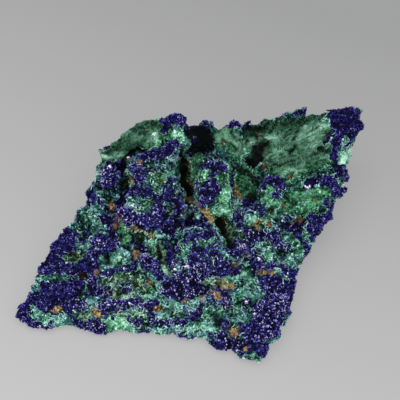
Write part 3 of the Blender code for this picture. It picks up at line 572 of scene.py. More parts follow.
crust = {
    "voxel": 0.29,  # mm
    "evenings": 5,  # passes that take off the solid's facets
    "footHeight": 0.05,  # mm, the solid's flat foot is lower
    "footFade": 0.9,  # mm of height over which the relief grows in
    "warp": 0.75,  # mm by which patch borders wander
    "wanderSizes": (1.1, 0.5),  # mm, of a broad and a fine wander
    "fineWander": 0.6,
    "azuriteLift": 0.12,  # mm that azurite stands above malachite
    "rimHeight": 0.1,  # mm that malachite rises along the border of azurite
    "ridgeHeight": 0.3,  # mm that the thin ridges rise
    "bunchSize": 1.35,  # mm, as are the sizes and depths below
    "bunchDepth": 0.52,
    "bunchLeast": 0.3,  # share of the depth on malachite
    "bunchLoss": 0.7,  # share of the depth that is lost where the minerals mix
    "lumpSize": 1.0,
    "lumpDepth": 0.32,
    "beadSize": 0.62,
    "beadDepth": 0.18,
    "tuftSize": 0.85,
    "tuftDepth": 0.25,
    "grainSize": 0.5,
    "grainDepth": 0.12,
    "level": 0.65,  # height of a dome that stays level with the crust
    "darkDepth": 0.6,
    "limoniteDepth": 0.15,
    "cleanLoss": 0.6,  # share of the roughness that is lost where malachite is clean
    "lastEvening": 0.3,  # how far the grown crust is evened
    "noiseSizes": {"broad": 4.5, "middle": 1.6, "fine": 0.6},
    "cavityPasses": 14,  # evenings that give the general form
    "cavityDepth": 0.3,  # mm below the general form that counts as fully recessed
    # Painted shade in the gaps between bunches and lumps, which also keeps crystals out of them
    "gapShade": 0.88,
    "gapEdges": (0.3, 0.28),  # height of the bunches' and the lumps' sides where a gap sets in
}

# Where crystals grow: shares from 0 to 1, and in a pair also what mixing adds
cover = {
    "heights": (0.25, 0.9),  # mm above the foot, where growth sets in and where it is whole
    "cavities": (0.45, -0.05),  # cavity that nothing grows in, and one that all grows in
    "limoniteLoss": 0.6,
    "darkLoss": 0.96,
    "azuriteBorder": (0.0, 0.2),  # field
    "strayAzurite": (0.04, 0.14),
    "malachiteLoss": 0.35,  # where the minerals mix
    "cleanLoss": 0.85,
    "strayMalachite": (0.04, 0.1),
    "fibreMiddle": -0.1,  # field where fibres are thickest
    "fibreReach": (0.6, 0.1),
    "borderFibres": (0.25, 0.75),
    "malachiteFibres": (0.2, 0.3),
    "greenLoss": 0.7,
    "bowlFibres": 0.7,
    "tops": (0.5, 1.0),  # height of the bunches where blades set in, and where they are thickest
}
bowlBorder = (-1.2, 0.1)  # nearness to malachite where the fan sets in, and where it is whole
crystalShades = {"bunch": 0.6, "bead": 0.4}  # shares of the bunches' and the beads' kinds
# Painted light and shade on the crystals: paler on the tops of the domes and darker between them
azuriteDomeShadingShares = {"largest": 0.45, "bead": 0.35}  # shares of the domes' heights
malachiteDomeShadingShares = {"bunch": 0.3, "bead": 0.25, "tuft": 0.25}

# Shifts of the noise, which give each use of it a pattern of its own
layers = {
    "bunch": 0.0,
    "bead": 20.0,
    "lump": 30.0,
    "tuft": 40.0,
    "grain": 60.0,
    "spread": 3.3,
    "rust": 21.5,
    "rustFine": 2.5,
    "ribs": 4.2,
    "finerRibs": 9.1,
    "folds": 12.0,
    "wander": (1.3, 7.9, 15.1),  # along X, Y and Z
    "fineWander": (6.3, 12.9, 20.1),
    "foldWander": (2.2, 5.5, 8.8),
}


def smoothStep(low, high, values):
    share = np.clip((values - low) / (high - low), 0, 1)
    return share * share * (3 - 2 * share)


# One smooth random value from -1 to 1 for each point
def noiseAt(points, size, layer):
    return np.array([noise.noise(Vector(p)) for p in (points / size + layer).tolist()])


# Three such values for each point, along X, Y and Z
def wanderAt(points, size, axisLayers):
    return np.stack([noiseAt(points, size, layer) for layer in axisLayers], axis=1)


# Domes on a random net of cells, from 0 between cells to 1 at a cell's middle, and for each cell a kind of
# its own from 0 to 1
def domesAt(points, size, layer):
    slope, kindStep = 2.0, 31.0
    domes, domeKinds = np.empty(len(points)), np.empty(len(points))
    for i, place in enumerate((points / size + layer).tolist()):
        distances, centres = noise.voronoi(place)
        domes[i] = 1 - (1 - min(1, (distances[1] - distances[0]) * slope)) ** 2
        domeKinds[i] = noise.cell(centres[0] * kindStep)
    return domes, domeKinds / 2 + 0.5


def copyOfNode(name):
    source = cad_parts[name]
    bm = bmesh.new()
    bm.from_mesh(source.data)
    bmesh.ops.remove_doubles(bm, verts=bm.verts[:], dist=1e-7)
    mesh = bpy.data.meshes.new("ore_crust")
    bm.to_mesh(mesh)
    bm.free()
    piece = bpy.data.objects.new("ore_crust", mesh)
    bpy.context.scene.collection.objects.link(piece)
    return piece


# Gives the piece the mesh that its modifiers make
def settle(piece):
    graph = bpy.context.evaluated_depsgraph_get()
    made = bpy.data.meshes.new_from_object(piece.evaluated_get(graph))
    piece.modifiers.clear()
    piece.data = made


# The places of the vertices, in mm
def placesOf(mesh):
    points = np.empty(len(mesh.vertices) * 3, np.float32)
    mesh.vertices.foreach_get("co", points)
    return points.reshape(-1, 3).astype(float) / mm


def setPlaces(mesh, points):
    mesh.vertices.foreach_set("co", (points * mm).astype(np.float32).ravel())
    mesh.update()


def normalsOf(mesh):
    normals = np.empty(len(mesh.vertices) * 3, np.float32)
    mesh.vertex_normals.foreach_get("vector", normals)
    return normals.reshape(-1, 3).astype(float)


# Values at the vertices, averaged with those of their neighbours
def evened(mesh, values, passes, share=0.5):
    ends = np.empty(len(mesh.edges) * 2, np.int32)
    mesh.edges.foreach_get("vertices", ends)
    ends = ends.reshape(-1, 2)
    count = np.bincount(ends.ravel(), minlength=len(values))
    for _ in range(passes):
        sums = np.stack([np.bincount(ends[:, 0], values[ends[:, 1], k], len(values))
                         + np.bincount(ends[:, 1], values[ends[:, 0], k], len(values))
                         for k in range(values.shape[1])], axis=1)
        values = values + share * (sums / count[:, None] - values)
    return values


def surfaceTree(mesh):
    return BVHTree.FromPolygons([v.co / mm for v in mesh.vertices], [p.vertices[:] for p in mesh.polygons])


# The point of the surface, in mm, that shows at a pixel of the picture, or None
def picturePoint(tree, column, row):
    aim = (viewRight * (column - half) + viewUp * (half - row)) * picture["mmPerPixel"]
    aim -= viewBack * picture["distance"]
    hit = tree.ray_cast(cameraPlace / mm, aim.normalized())[0]
    return None if hit is None else np.array(hit)


# Pixel columns and rows that the points show at
def picturePixels(points):
    seen = points - np.array(cameraPlace / mm)
    away = -(seen @ np.array(viewBack)) * picture["mmPerPixel"] / picture["distance"]
    return half + seen @ np.array(viewRight) / away, half - seen @ np.array(viewUp) / away


# Points of the surface along a line of picture points, a few pixels apart
def patchPlaces(tree, line):
    pixelsApart = 3
    found = []
    for start, end in zip(line, line[1:] or line):
        steps = max(1, round(math.dist(start, end) / pixelsApart))
        for i in range(steps + 1):
            spot = picturePoint(tree, *(a + (b - a) * i / steps for a, b in zip(start, end)))
            if spot is not None:
                found.append(spot)
    return found


# For each point how deep it lies in a patch, 1 at its middle line, 0 at its border and less outside, and
# the tone of the patches around it with the weight they have there
def nearness(points, tree, patches):
    farAway, noWeight = -9.0, 1e-6
    toneFade, toneReach = 3, 5
    best = np.full(len(points), farAway)
    toneSums, weights = np.zeros(len(points)), np.full(len(points), noWeight)
    for line, halfWidth, *tone in patches.values():
        own = np.full(len(points), farAway)
        for spot in patchPlaces(tree, line):
            distance = np.sqrt(((points - spot) ** 2).sum(axis=1))
            own = np.maximum(own, 1 - distance / (halfWidth * picture["mmPerPixel"]))
        if tone:
            weight = np.exp(-toneFade * np.clip(1 - own, 0, toneReach) ** 2)
            toneSums += weight * tone[0]
            weights += weight
        best = np.maximum(best, own)
    return best, toneSums / weights, weights


# The fan in the bowl: ribs from -1 to 1, folds from 0 to 1, the kind of each fold, and how strongly it shows
def fanAt(points, tree):
    root = picturePoint(tree, *fan["root"])
    across = (points - root) @ np.array(viewRight) / picture["mmPerPixel"]
    along = (points - root) @ np.array(viewUp) / picture["mmPerPixel"]
    angle, radius = np.arctan2(along, across), np.hypot(across, along)
    level = np.zeros(len(points))
    strands = np.stack([angle * fan["ribs"], radius / fan["ribLength"], level], axis=1)
    ribs = fan["ribShares"][0] * noiseAt(strands, 1, layers["ribs"])
    ribs += fan["ribShares"][1] * noiseAt(strands * np.array(fan["finer"]), 1, layers["finerRibs"])
    pleats = np.stack([angle * fan["folds"], radius / fan["foldLength"], level], axis=1)
    pleats += fan["foldWander"] * wanderAt(points, fan["foldWanderSize"], layers["foldWander"])
    folds, foldKinds = domesAt(pleats, 1, layers["folds"])
    strength = smoothStep(*fan["start"], angle) * smoothStep(*fan["end"], angle)
    strength *= smoothStep(*fan["hub"], radius) * smoothStep(*fan["reach"], radius)
    return np.clip(ribs, -1, 1), folds, foldKinds, strength


def nudged(points):
    moved = points.copy()
    columns, rows = picturePixels(points)
    for (column, row), reach, shift in nudges.values():
        moved += smoothStep(reach, 0, np.hypot(columns - column, rows - row))[:, None] * np.array(shift)
    return moved


# The solid's skin as an even mesh of fine faces, and its points in mm
def makeSkin():
    piece = copyOfNode("azurite_specimen")
    remesh = piece.modifiers.new("skin", "REMESH")
    remesh.mode = "VOXEL"
    remesh.voxel_size = crust["voxel"] * mm
    settle(piece)
    points = placesOf(piece.data)
    isFoot = points[:, 2] < crust["footHeight"]
    points = nudged(evened(piece.data, points, crust["evenings"]))
    points[:, 2] = np.where(isFoot, 0, np.maximum(points[:, 2], 0))
    setPlaces(piece.data, points)
    print("skin has", len(points), "points")
    return piece, points


# Random patterns over the crust: domes of each size, kinds of the single domes, and noise of each size
def patternsAt(points):
    domes, domeKinds = {}, {}
    for name in ("bunch", "lump", "bead", "tuft"):
        domes[name], domeKinds[name] = domesAt(points, crust[name + "Size"], layers[name])
    noises = {name: noiseAt(points, size, layers["spread"]) for name, size in crust["noiseSizes"].items()}
    return domes, domeKinds, noises


def mixedPair(pair, mixed):
    return pair[0] + pair[1] * mixed


# The tone of a mineral's patches, which gives way to a random one out of their reach
def toneOf(mineral, near, noises):
    _, tone, weight = near[mineral]
    rule = tones[mineral]
    chance = rule["middle"] + rule["swing"] * noises[rule["noise"]]
    return (tone * weight + rule["weight"] * chance) / (weight + rule["weight"])


# How near each point is to the minerals' patches, and how strongly each kind of place shows at it
def surveyPlaces(points, tree):
    broadSize, fineSize = crust["wanderSizes"]
    wander = wanderAt(points, broadSize, layers["wander"])
    wander += crust["fineWander"] * wanderAt(points, fineSize, layers["fineWander"])
    near = {name: nearness(points + share * crust["warp"] * wander, tree, patches)
            for name, (patches, share) in mineralPatches.items()}
    at = {}
    for name, kind in kinds.items():
        depth, tone, _ = nearness(points + kind["wander"] * crust["warp"] * wander, tree, kind["places"])
        at[name] = smoothStep(*kind["border"], depth) * (tone if kind.get("toned") else 1)
    return near, at


# The field of the minerals, above 0 on azurite and below 0 on malachite
def fieldAt(near, at, domes, domeKinds, noises):
    low, high = mixing["patchLimits"]
    mixed = at["mixed"]
    field = np.clip(near["azurite"][0], low, high) - np.clip(near["malachite"][0], low, high)
    field *= 1 - mixing["patchLoss"] * mixed
    field += mixing["level"] + mixing["middle"] * noises["middle"] + mixing["fine"] * noises["fine"]
    field += at["unknown"] * (mixing["unknownLevel"] + mixing["unknownNoise"] * noises["broad"])
    field += mixed * (mixing["mixedLevel"] + mixing["mixedFine"] * noises["fine"]
                      + mixing["mixedLumps"] * (domes["lump"] - domes["lump"].mean())
                      + mixing["mixedKinds"] * (domeKinds["lump"] - 0.5))
    field += mixing["bunches"] * (1 - mixed) * (domes["bunch"] - domes["bunch"].mean())
    return field + mixing["beads"] * (domeKinds["bead"] - 0.5) + mixing["ridges"] * at["ridge"]


def limoniteAt(points, near, at, domeKinds, noises):
    frayed = near["limonite"][0] + rusting["beadFray"] * (domeKinds["bead"] - 0.5)
    for name, share in rusting["fray"].items():
        frayed = frayed + share * noises[name]
    broadSize, fineSize = rusting["chanceSizes"]
    chance = rusting["chance"] + rusting["chanceUnknown"] * at["unknown"]
    chance += noiseAt(points, broadSize, layers["rust"])
    chance += rusting["chanceFine"] * noiseAt(points, fineSize, layers["rustFine"])
    return smoothStep(*rusting["border"], np.maximum(frayed, chance))


# How far each point rises from the skin, in mm
def reliefAt(points, at, domes, ribs, folds):
    softAzurite, mixed, bowl = at["softAzurite"], at["mixed"], at["bowl"]
    onBunches = crust["bunchLeast"] + (1 - crust["bunchLeast"]) * softAzurite
    onBunches *= 1 - crust["bunchLoss"] * mixed
    rough = (1 - bowl) * (1 - crust["cleanLoss"] * at["clean"])
    relief = crust["azuriteLift"] * (2 * softAzurite - 1)
    relief += crust["rimHeight"] * at["rim"] + crust["ridgeHeight"] * at["ridge"]
    strengths = {"bunch": onBunches, "lump": mixed, "bead": 1.0, "tuft": 1 - softAzurite}
    for name, strength in strengths.items():
        relief += crust[name + "Depth"] * strength * rough * (domes[name] - crust["level"])
    relief += bowl * (fan["ribDepth"] * ribs + fan["foldDepth"] * (folds - fan["foldLevel"]))
    relief += crust["grainDepth"] * noiseAt(points, crust["grainSize"], layers["grain"])
    relief -= crust["darkDepth"] * at["paintedShade"] + crust["limoniteDepth"] * at["limonite"]
    return relief * smoothStep(crust["footHeight"], crust["footFade"], points[:, 2])


# How deep each point lies below the general form, with the gaps between bunches deepened; the crust's finish
# paints shade by it, and crystals keep out of it
def cavityAt(mesh, points, at, domes):
    general = evened(mesh, points, crust["cavityPasses"])
    cavity = ((general - points) * normalsOf(mesh)).sum(axis=1) / crust["cavityDepth"]
    bunchEdge, lumpEdge = crust["gapEdges"]
    gaps = (1 - at["mixed"]) * at["softAzurite"] * smoothStep(bunchEdge, 0.0, domes["bunch"])
    gaps += at["mixed"] * smoothStep(lumpEdge, 0.0, domes["lump"])
    return cavity + crust["gapShade"] * gaps * (1 - at["clean"])


# Where each kind of crystal grows, from 0 to 1
def coverAt(points, at, domes):
    mixed, clean, notAzurite = at["mixed"], at["clean"], 1 - at["azurite"]
    high = smoothStep(*cover["heights"], points[:, 2])
    growth = high * smoothStep(*cover["cavities"], at["cavity"])
    growth *= (1 - cover["limoniteLoss"] * at["limonite"]) * (1 - cover["darkLoss"] * at["paintedShade"])
    blue = smoothStep(*cover["azuriteBorder"], at["field"])
    blue = (blue + mixedPair(cover["strayAzurite"], mixed) * (1 - clean)) * (1 - at["paintedShade"]) * growth
    green = notAzurite * (1 - cover["malachiteLoss"] * mixed)
    green = (green + mixedPair(cover["strayMalachite"], mixed) * (1 - clean)) * growth
    atBorder = smoothStep(*cover["fibreReach"], np.abs(at["field"] - cover["fibreMiddle"]))
    fibres = mixedPair(cover["borderFibres"], mixed) * atBorder
    fibres += mixedPair(cover["malachiteFibres"], mixed) * notAzurite
    fibres *= (1 - clean) * (1 - cover["greenLoss"] * at["green"])
    fibres += cover["bowlFibres"] * at["bowl"] + at["ridge"]
    return {
        "azuriteLeft": blue * (points[:, 0] < 0),
        "azuriteRight": blue * (points[:, 0] >= 0),
        "azuriteTops": at["azurite"] * growth * smoothStep(*cover["tops"], domes["bunch"]),
        "malachiteGrowth": green * (1 - cover["cleanLoss"] * clean),
        "fibreGrowth": fibres * growth,
        "limoniteGrowth": at["limonite"] * high * (1 - at["paintedShade"]),
    }


# A sum of patterns, each times its share
def shared(shares, patterns):
    return sum(share * patterns[name] for name, share in shares.items())


def growCrust():
    piece, points = makeSkin()
    mesh = piece.data
    normals = normalsOf(mesh)
    tree = surfaceTree(mesh)
    domes, domeKinds, noises = patternsAt(points)
    near, at = surveyPlaces(points, tree)

    at["unknown"] = smoothStep(*mixing["unknown"], np.maximum(near["azurite"][0], near["malachite"][0]))
    at["green"] = np.maximum(at["clean"], at["green"])
    at["mixed"] = np.maximum(at["mixed"], mixing["least"])
    at["mixed"] *= (1 - at["clean"]) * (1 - mixing["greenLoss"] * at["green"])
    at["field"] = fieldAt(near, at, domes, domeKinds, noises)
    at["azurite"] = smoothStep(*mixing["border"], at["field"])
    at["softAzurite"] = smoothStep(*mixing["softBorder"], at["field"])
    at["rim"] = smoothStep(mixing["rimReach"], 0.0, np.abs(at["field"] - mixing["rimMiddle"]))
    at["rim"] *= 1 - at["clean"]
    at["limonite"] = limoniteAt(points, near, at, domeKinds, noises)
    ribs, folds, foldKinds, at["bowl"] = fanAt(points, tree)
    at["bowl"] *= (1 - at["azurite"]) * smoothStep(*bowlBorder, near["malachite"][0])

    relief = reliefAt(points, at, domes, ribs, folds)
    grown = evened(mesh, points + normals * relief[:, None], 1, crust["lastEvening"])
    grown[:, 2] = np.maximum(grown[:, 2], 0)
    setPlaces(mesh, grown)

    at["cavity"] = cavityAt(mesh, grown, at, domes)
    at["rust"] = toneOf("limonite", near, noises)
    at["tone"] = toneOf("malachite", near, noises) + toneGains["all"] + toneGains["ridge"] * at["ridge"]
    at["tone"] += toneGains["tufts"] * (domeKinds["tuft"] - 0.5) * (1 - at["clean"])
    at["tone"] += at["bowl"] * (toneGains["ribs"] * ribs + toneGains["folds"] * (foldKinds - 0.5))

    # What the finishes and the crystals read from the crust
    masks = {name: at[name] for name in ("tone", "mixed", "limonite", "rust", "paintedShade", "paintedSparkle", "clean",
                                         "green", "olive")}
    masks["field"] = np.clip(at["field"], -1, 1)
    masks["cavity"] = np.clip(at["cavity"], -1, 1)
    masks["bunch"] = shared(crystalShades, domeKinds)
    # The domes' heights, by which the crystals are painted paler on top and darker between
    largest = np.where(at["mixed"] > 0.5, domes["lump"], domes["bunch"])
    masks["azuriteDomeShading"] = shared(azuriteDomeShadingShares, {"largest": largest, "bead": domes["bead"]})
    masks["malachiteDomeShading"] = shared(malachiteDomeShadingShares, domes)
    masks.update(coverAt(grown, at, domes))
    for name, values in masks.items():
        layer = mesh.attributes.new(name, "FLOAT", "POINT")
        layer.data.foreach_set("value", values.astype(np.float32))
    mesh.shade_smooth()
    return piece


oreCrust = growCrust()
print("crust grown,", len(oreCrust.data.polygons), "faces")


# Crystal forms, one unit high, with their foot sunk below the surface
forms = {
    "blade": {"width": 0.62, "thickness": 0.3, "sunk": 0.3, "shoulder": 0.35, "top": 0.7,
              "tipWidth": 0.55, "tipThickness": 0.2, "slant": 0.12},
    "grain": {"width": 0.85, "thickness": 0.6, "sunk": 0.35, "shoulder": 0.55, "top": 0.55,
              "tipWidth": 0.6, "tipThickness": 0.45, "slant": 0.1},
    "tuft": {"radius": 0.5, "spikes": 0.45, "sunk": 0.15},
    "fibre": {"steps": 3, "thickness": 0.13, "bend": 0.2, "rise": 0.22, "sunk": 0.05, "taper": 1.2},
}


def formObject(name, bm):
    bmesh.ops.recalc_face_normals(bm, faces=bm.faces[:])
    mesh = bpy.data.meshes.new(name)
    bm.to_mesh(mesh)
    bm.free()
    form = bpy.data.objects.new(name, mesh)
    bpy.context.scene.collection.objects.link(form)
    return form


# A flat prism with a slanting end; a blade narrows above its shoulder as well
def crystalForm(name):
    shape = forms[name]
    bm = bmesh.new()
    bmesh.ops.create_cube(bm, size=1)
    for vert in bm.verts:
        vert.co.x *= shape["width"]
        vert.co.y *= shape["thickness"]
        vert.co.z = shape["shoulder"] if vert.co.z > 0 else -shape["sunk"]
    tip = max(bm.faces, key=lambda face: face.calc_center_median().z)
    if shape["top"] > shape["shoulder"]:
        raised = bmesh.ops.extrude_face_region(bm, geom=[tip])["geom"]
        tip = next(item for item in raised if isinstance(item, bmesh.types.BMFace))
    for vert in tip.verts:
        vert.co.x = vert.co.x * shape["tipWidth"] + shape["slant"]
        vert.co.y *= shape["tipThickness"]
        vert.co.z = shape["top"] + shape["slant"] * vert.co.x / shape["width"]
    return formObject(name, bm)


# A small ball of short needles
def tuftForm():
    shape = forms["tuft"]
    bm = bmesh.new()
    bmesh.ops.create_icosphere(bm, subdivisions=1, radius=shape["radius"])
    for i, vert in enumerate(bm.verts):
        vert.co *= 1 + shape["spikes"] * (i % 3 - 1)
        vert.co.z -= shape["sunk"]
    return formObject("tuft", bm)


# A short curved strand that arches over the surface
def fibreForm():
    shape = forms["fibre"]
    corners = ((-1, -1), (1, -1), (1, 1), (-1, 1))
    bm = bmesh.new()
    rings = []
    for i in range(shape["steps"] + 1):
        along = i / shape["steps"] - 0.5
        arch = 1 - 4 * along ** 2
        middle = Vector((along, shape["bend"] * arch, shape["rise"] * arch - shape["sunk"]))
        reach = shape["thickness"] / 2 * (1 - shape["taper"] * abs(along))
        rings.append([bm.verts.new(middle + reach * Vector((0, y, z))) for y, z in corners])
    for near, far in zip(rings, rings[1:]):
        for k in range(len(corners)):
            bm.faces.new((near[k - 1], near[k], far[k], far[k - 1]))
    bm.faces.new(rings[0])
    bm.faces.new(rings[-1])
    return formObject("fibre", bm)


blade, grain, tuft, fibre = crystalForm("blade"), crystalForm("grain"), tuftForm(), fibreForm()
print("crystal forms ready")


# Gives a socket its value: another socket to link, or a constant
def feed(tree, socket, value):
    if isinstance(value, bpy.types.NodeSocket):
        tree.links.new(value, socket)
    else:
        socket.default_value = value


# The socket of that name, or number, that is in use
def socketOf(sockets, name):
    if isinstance(name, int):
        return sockets[name]
    return next(socket for socket in sockets if socket.name == name and socket.enabled)


def addNode(tree, kind, inputs=None, **settings):
    node = tree.nodes.new(kind)
    for name, value in settings.items():
        setattr(node, name, value)
    for name, value in (inputs or {}).items():
        feed(tree, socketOf(node.inputs, name), value)
    return node


# How single crystals vary: their proportions along X, Y and Z, and seeds for what is random
variety = {
    "least": (0.75, 0.65, 0.8),
    "most": (1.6, 1.15, 1.35),
    "sizeSeed": 3,
    "proportionSeed": 5,
    "shadeSeed": 9,
}


# Geometry nodes that grow a form over a surface, as densely as a mask on it says
def growthTree():
    tree = bpy.data.node_groups.new("grow_over_crust", "GeometryNodeTree")
    sockets = {"Geometry": "Geometry", "Form": "Object", "Mask": "String", "Per Square Metre": "Float",
               "Least Gap": "Float", "Smallest": "Float", "Largest": "Float", "Lean": "Float",
               "Seed": "Int", "Finish": "Material"}
    for name, kind in sockets.items():
        tree.interface.new_socket(name, in_out="INPUT", socket_type="NodeSocket" + kind)
    tree.interface.new_socket("Geometry", in_out="OUTPUT", socket_type="NodeSocketGeometry")
    given = tree.nodes.new("NodeGroupInput").outputs
    mask = addNode(tree, "GeometryNodeInputNamedAttribute", {"Name": given["Mask"]}, data_type="FLOAT")
    spots = addNode(tree, "GeometryNodeDistributePointsOnFaces",
                    {"Mesh": given["Geometry"], "Distance Min": given["Least Gap"],
                     "Density Max": given["Per Square Metre"],
                     "Density Factor": socketOf(mask.outputs, "Attribute"),
                     "Seed": given["Seed"]}, distribute_method="POISSON")
    backLean = addNode(tree, "ShaderNodeMath", {0: 0.0, 1: given["Lean"]}, operation="SUBTRACT").outputs[0]
    least = addNode(tree, "ShaderNodeCombineXYZ", {"X": backLean, "Y": backLean, "Z": 0.0})
    most = addNode(tree, "ShaderNodeCombineXYZ", {"X": given["Lean"], "Y": given["Lean"], "Z": math.tau})
    lean = addNode(tree, "FunctionNodeRandomValue", {0: least.outputs[0], 1: most.outputs[0]},
                   data_type="FLOAT_VECTOR")
    leaning = addNode(tree, "FunctionNodeEulerToRotation", {0: lean.outputs[0]})
    turned = addNode(tree, "FunctionNodeRotateRotation",
                     {"Rotation": spots.outputs["Rotation"], "Rotate By": leaning.outputs[0]},
                     rotation_space="LOCAL")
    size = addNode(tree, "FunctionNodeRandomValue",
                   {"Min": given["Smallest"], "Max": given["Largest"], "Seed": variety["sizeSeed"]},
                   data_type="FLOAT")
    proportions = addNode(tree, "FunctionNodeRandomValue",
                          {0: variety["least"], 1: variety["most"], "Seed": variety["proportionSeed"]},
                          data_type="FLOAT_VECTOR")
    scale = addNode(tree, "ShaderNodeVectorMath",
                    {0: proportions.outputs[0], "Scale": socketOf(size.outputs, "Value")}, operation="SCALE")
    form = addNode(tree, "GeometryNodeObjectInfo", {"Object": given["Form"]})
    grown = addNode(tree, "GeometryNodeInstanceOnPoints",
                    {"Points": spots.outputs["Points"], "Instance": form.outputs["Geometry"],
                     "Rotation": turned.outputs[0], "Scale": scale.outputs[0]})
    shade = addNode(tree, "FunctionNodeRandomValue", {"Min": 0.0, "Max": 1.0, "Seed": variety["shadeSeed"]},
                    data_type="FLOAT")
    marked = addNode(tree, "GeometryNodeStoreNamedAttribute",
                     {"Geometry": grown.outputs[0], "Name": "shade",
                      "Value": socketOf(shade.outputs, "Value")}, data_type="FLOAT", domain="INSTANCE")
    real = addNode(tree, "GeometryNodeRealizeInstances", {"Geometry": marked.outputs[0]})
    finished = addNode(tree, "GeometryNodeSetMaterial",
                       {"Geometry": real.outputs[0], "Material": given["Finish"]})
    addNode(tree, "NodeGroupOutput", {"Geometry": finished.outputs[0]})
    return tree


# Colour given as red, green and blue out of 255, without the curve that screens add
def paint(red, green, blue):
    shades = (red / 255, green / 255, blue / 255)
    return tuple(((s + 0.055) / 1.055) ** 2.4 if s > 0.04045 else s / 12.92 for s in shades) + (1.0,)


# Each mineral and mixture as a band of colours, from dark to pale
minerals = {
    # The palest azurite colours are partly painted sparkle on single crystals
    "azurite": (paint(9, 6, 34), paint(42, 40, 118), paint(82, 80, 168), paint(144, 144, 214),
                paint(198, 192, 230)),
    "malachite": (paint(10, 24, 16), paint(42, 94, 64), paint(92, 162, 120), paint(180, 233, 207)),
    "silky": (paint(18, 34, 26), paint(52, 92, 70), paint(102, 148, 122), paint(176, 220, 200)),
    "olive": (paint(16, 24, 14), paint(66, 90, 58), paint(118, 150, 108), paint(198, 224, 186)),
    "teal": (paint(9, 20, 26), paint(40, 80, 88), paint(88, 142, 146), paint(178, 226, 220)),
    "thread": (paint(11, 12, 34), paint(56, 66, 100), paint(116, 134, 158), paint(204, 218, 228)),
    "limonite": (paint(40, 22, 14), paint(106, 84, 50), paint(196, 164, 104)),
}
# The colour of painted shade: recesses, gaps and shaded places are painted toward it
hollow = paint(7, 10, 8)  # what deep places fade to


def startMaterial(name):
    material = bpy.data.materials.new(name)
    material.use_nodes = True
    return material, material.node_tree, material.node_tree.nodes["Principled BSDF"]


# A value that the crust or its crystals carry, which is 0 where a piece has none of that name
def carried(tree, name):
    return addNode(tree, "ShaderNodeAttribute", attribute_name=name, attribute_type="GEOMETRY").outputs["Fac"]


def calculate(tree, operation, a, b=0.0, c=0.0, clamp=False):
    node = addNode(tree, "ShaderNodeMath", {0: a, 1: b, 2: c}, operation=operation, use_clamp=clamp)
    return node.outputs[0]


def mixColours(tree, share, a, b):
    node = addNode(tree, "ShaderNodeMix", data_type="RGBA")
    for socket, value in ((node.inputs[0], share), (node.inputs[6], a), (node.inputs[7], b)):
        feed(tree, socket, value)
    return node.outputs[2]


# A mineral's colours by a value, with the value at which each is reached
def colourBand(tree, value, mineral, places):
    band = addNode(tree, "ShaderNodeValToRGB", {"Fac": value})
    steps = band.color_ramp.elements
    while len(steps) < len(places):
        steps.new(0.5)
    for step, place, colour in zip(steps, places, minerals[mineral]):
        step.position = place
        step.color = colour
    return band.outputs["Color"]


# Fine unevenness of a mineral: random specks, a cloudy value from 0 to 1, and a height
def speckGroup():
    detail = {"Clouds": {"Detail": 5.0, "Roughness": 0.62}, "Grit": {"Detail": 3.0, "Roughness": 0.6}}
    tree = bpy.data.node_groups.new("mineral_specks", "ShaderNodeTree")
    tree.interface.new_socket("Place", in_out="INPUT", socket_type="NodeSocketVector")
    tree.interface.new_socket("Speck Size", in_out="INPUT", socket_type="NodeSocketFloat")
    tree.interface.new_socket("Cloud Size", in_out="INPUT", socket_type="NodeSocketFloat")
    for name in ("Specks", "Clouds", "Height"):
        tree.interface.new_socket(name, in_out="OUTPUT", socket_type="NodeSocketFloat")
    given = tree.nodes.new("NodeGroupInput").outputs
    speckScale = calculate(tree, "DIVIDE", 1.0, given["Speck Size"])
    cloudScale = calculate(tree, "DIVIDE", 1.0, given["Cloud Size"])
    cells = addNode(tree, "ShaderNodeTexVoronoi", {"Vector": given["Place"], "Scale": speckScale})
    clouds = addNode(tree, "ShaderNodeTexNoise",
                     {"Vector": given["Place"], "Scale": cloudScale, **detail["Clouds"]})
    grit = addNode(tree, "ShaderNodeTexNoise",
                   {"Vector": given["Place"], "Scale": speckScale, **detail["Grit"]})
    red = addNode(tree, "ShaderNodeSeparateColor", {"Color": cells.outputs["Color"]}).outputs["Red"]
    dome = calculate(tree, "SUBTRACT", 1.0, cells.outputs["Distance"])
    addNode(tree, "NodeGroupOutput", {"Specks": red, "Clouds": clouds.outputs["Fac"],
                                      "Height": calculate(tree, "ADD", dome, grit.outputs["Fac"])})
    return tree


specks = speckGroup()


# The specks of a material, with sizes in mm
def addSpecks(tree, speckSize, cloudSize):
    node = addNode(tree, "ShaderNodeGroup", node_tree=specks)
    feed(tree, node.inputs["Place"], addNode(tree, "ShaderNodeTexCoord").outputs["Object"])
    feed(tree, node.inputs["Speck Size"], speckSize * mm)
    feed(tree, node.inputs["Cloud Size"], cloudSize * mm)
    return node.outputs


# Adds another value times a factor to a value; each may be a socket or a constant
def added(tree, value, by, factor, clamp=False):
    return calculate(tree, "MULTIPLY_ADD", by, factor, value, clamp=clamp)


# Adds a value that ranges over 0 to 1, as strength times its distance from 0.5
def shifted(tree, value, by, strength):
    return calculate(tree, "ADD", value, calculate(tree, "MULTIPLY_ADD", by, strength, -0.5 * strength))


# Adds carried values, each times its gain
def gained(tree, value, gains):
    for name, gain in gains.items():
        value = added(tree, value, carried(tree, name), gain)
    return value


# A share that rises with a value from 0 at a start, and falls where the slope is below 0
def ramped(tree, value, start, slope):
    return calculate(tree, "MULTIPLY_ADD", value, slope, -slope * start, clamp=True)


# How near a place is to a value of the azurite field: 1 there, and 0 from a distance away
def nearField(tree, middle, distance):
    offset = calculate(tree, "ABSOLUTE", calculate(tree, "SUBTRACT", carried(tree, "field"), middle))
    return calculate(tree, "MULTIPLY_ADD", offset, -1 / distance, 1.0, clamp=True)


# Malachite is teal where it mixes with azurite, and otherwise green, silky or olive
malachiteLook = {
    "stops": (0.06, 0.32, 0.66, 1.0),  # tones of its four colours
    "specks": (0.3, 2.4),  # mm
    "teal": (0.3375, 3.2),  # cloud value where teal starts, and how fast it rises
    "olive": (0.65625, -3.2),  # cloud value where olive ends, and how fast it falls
}


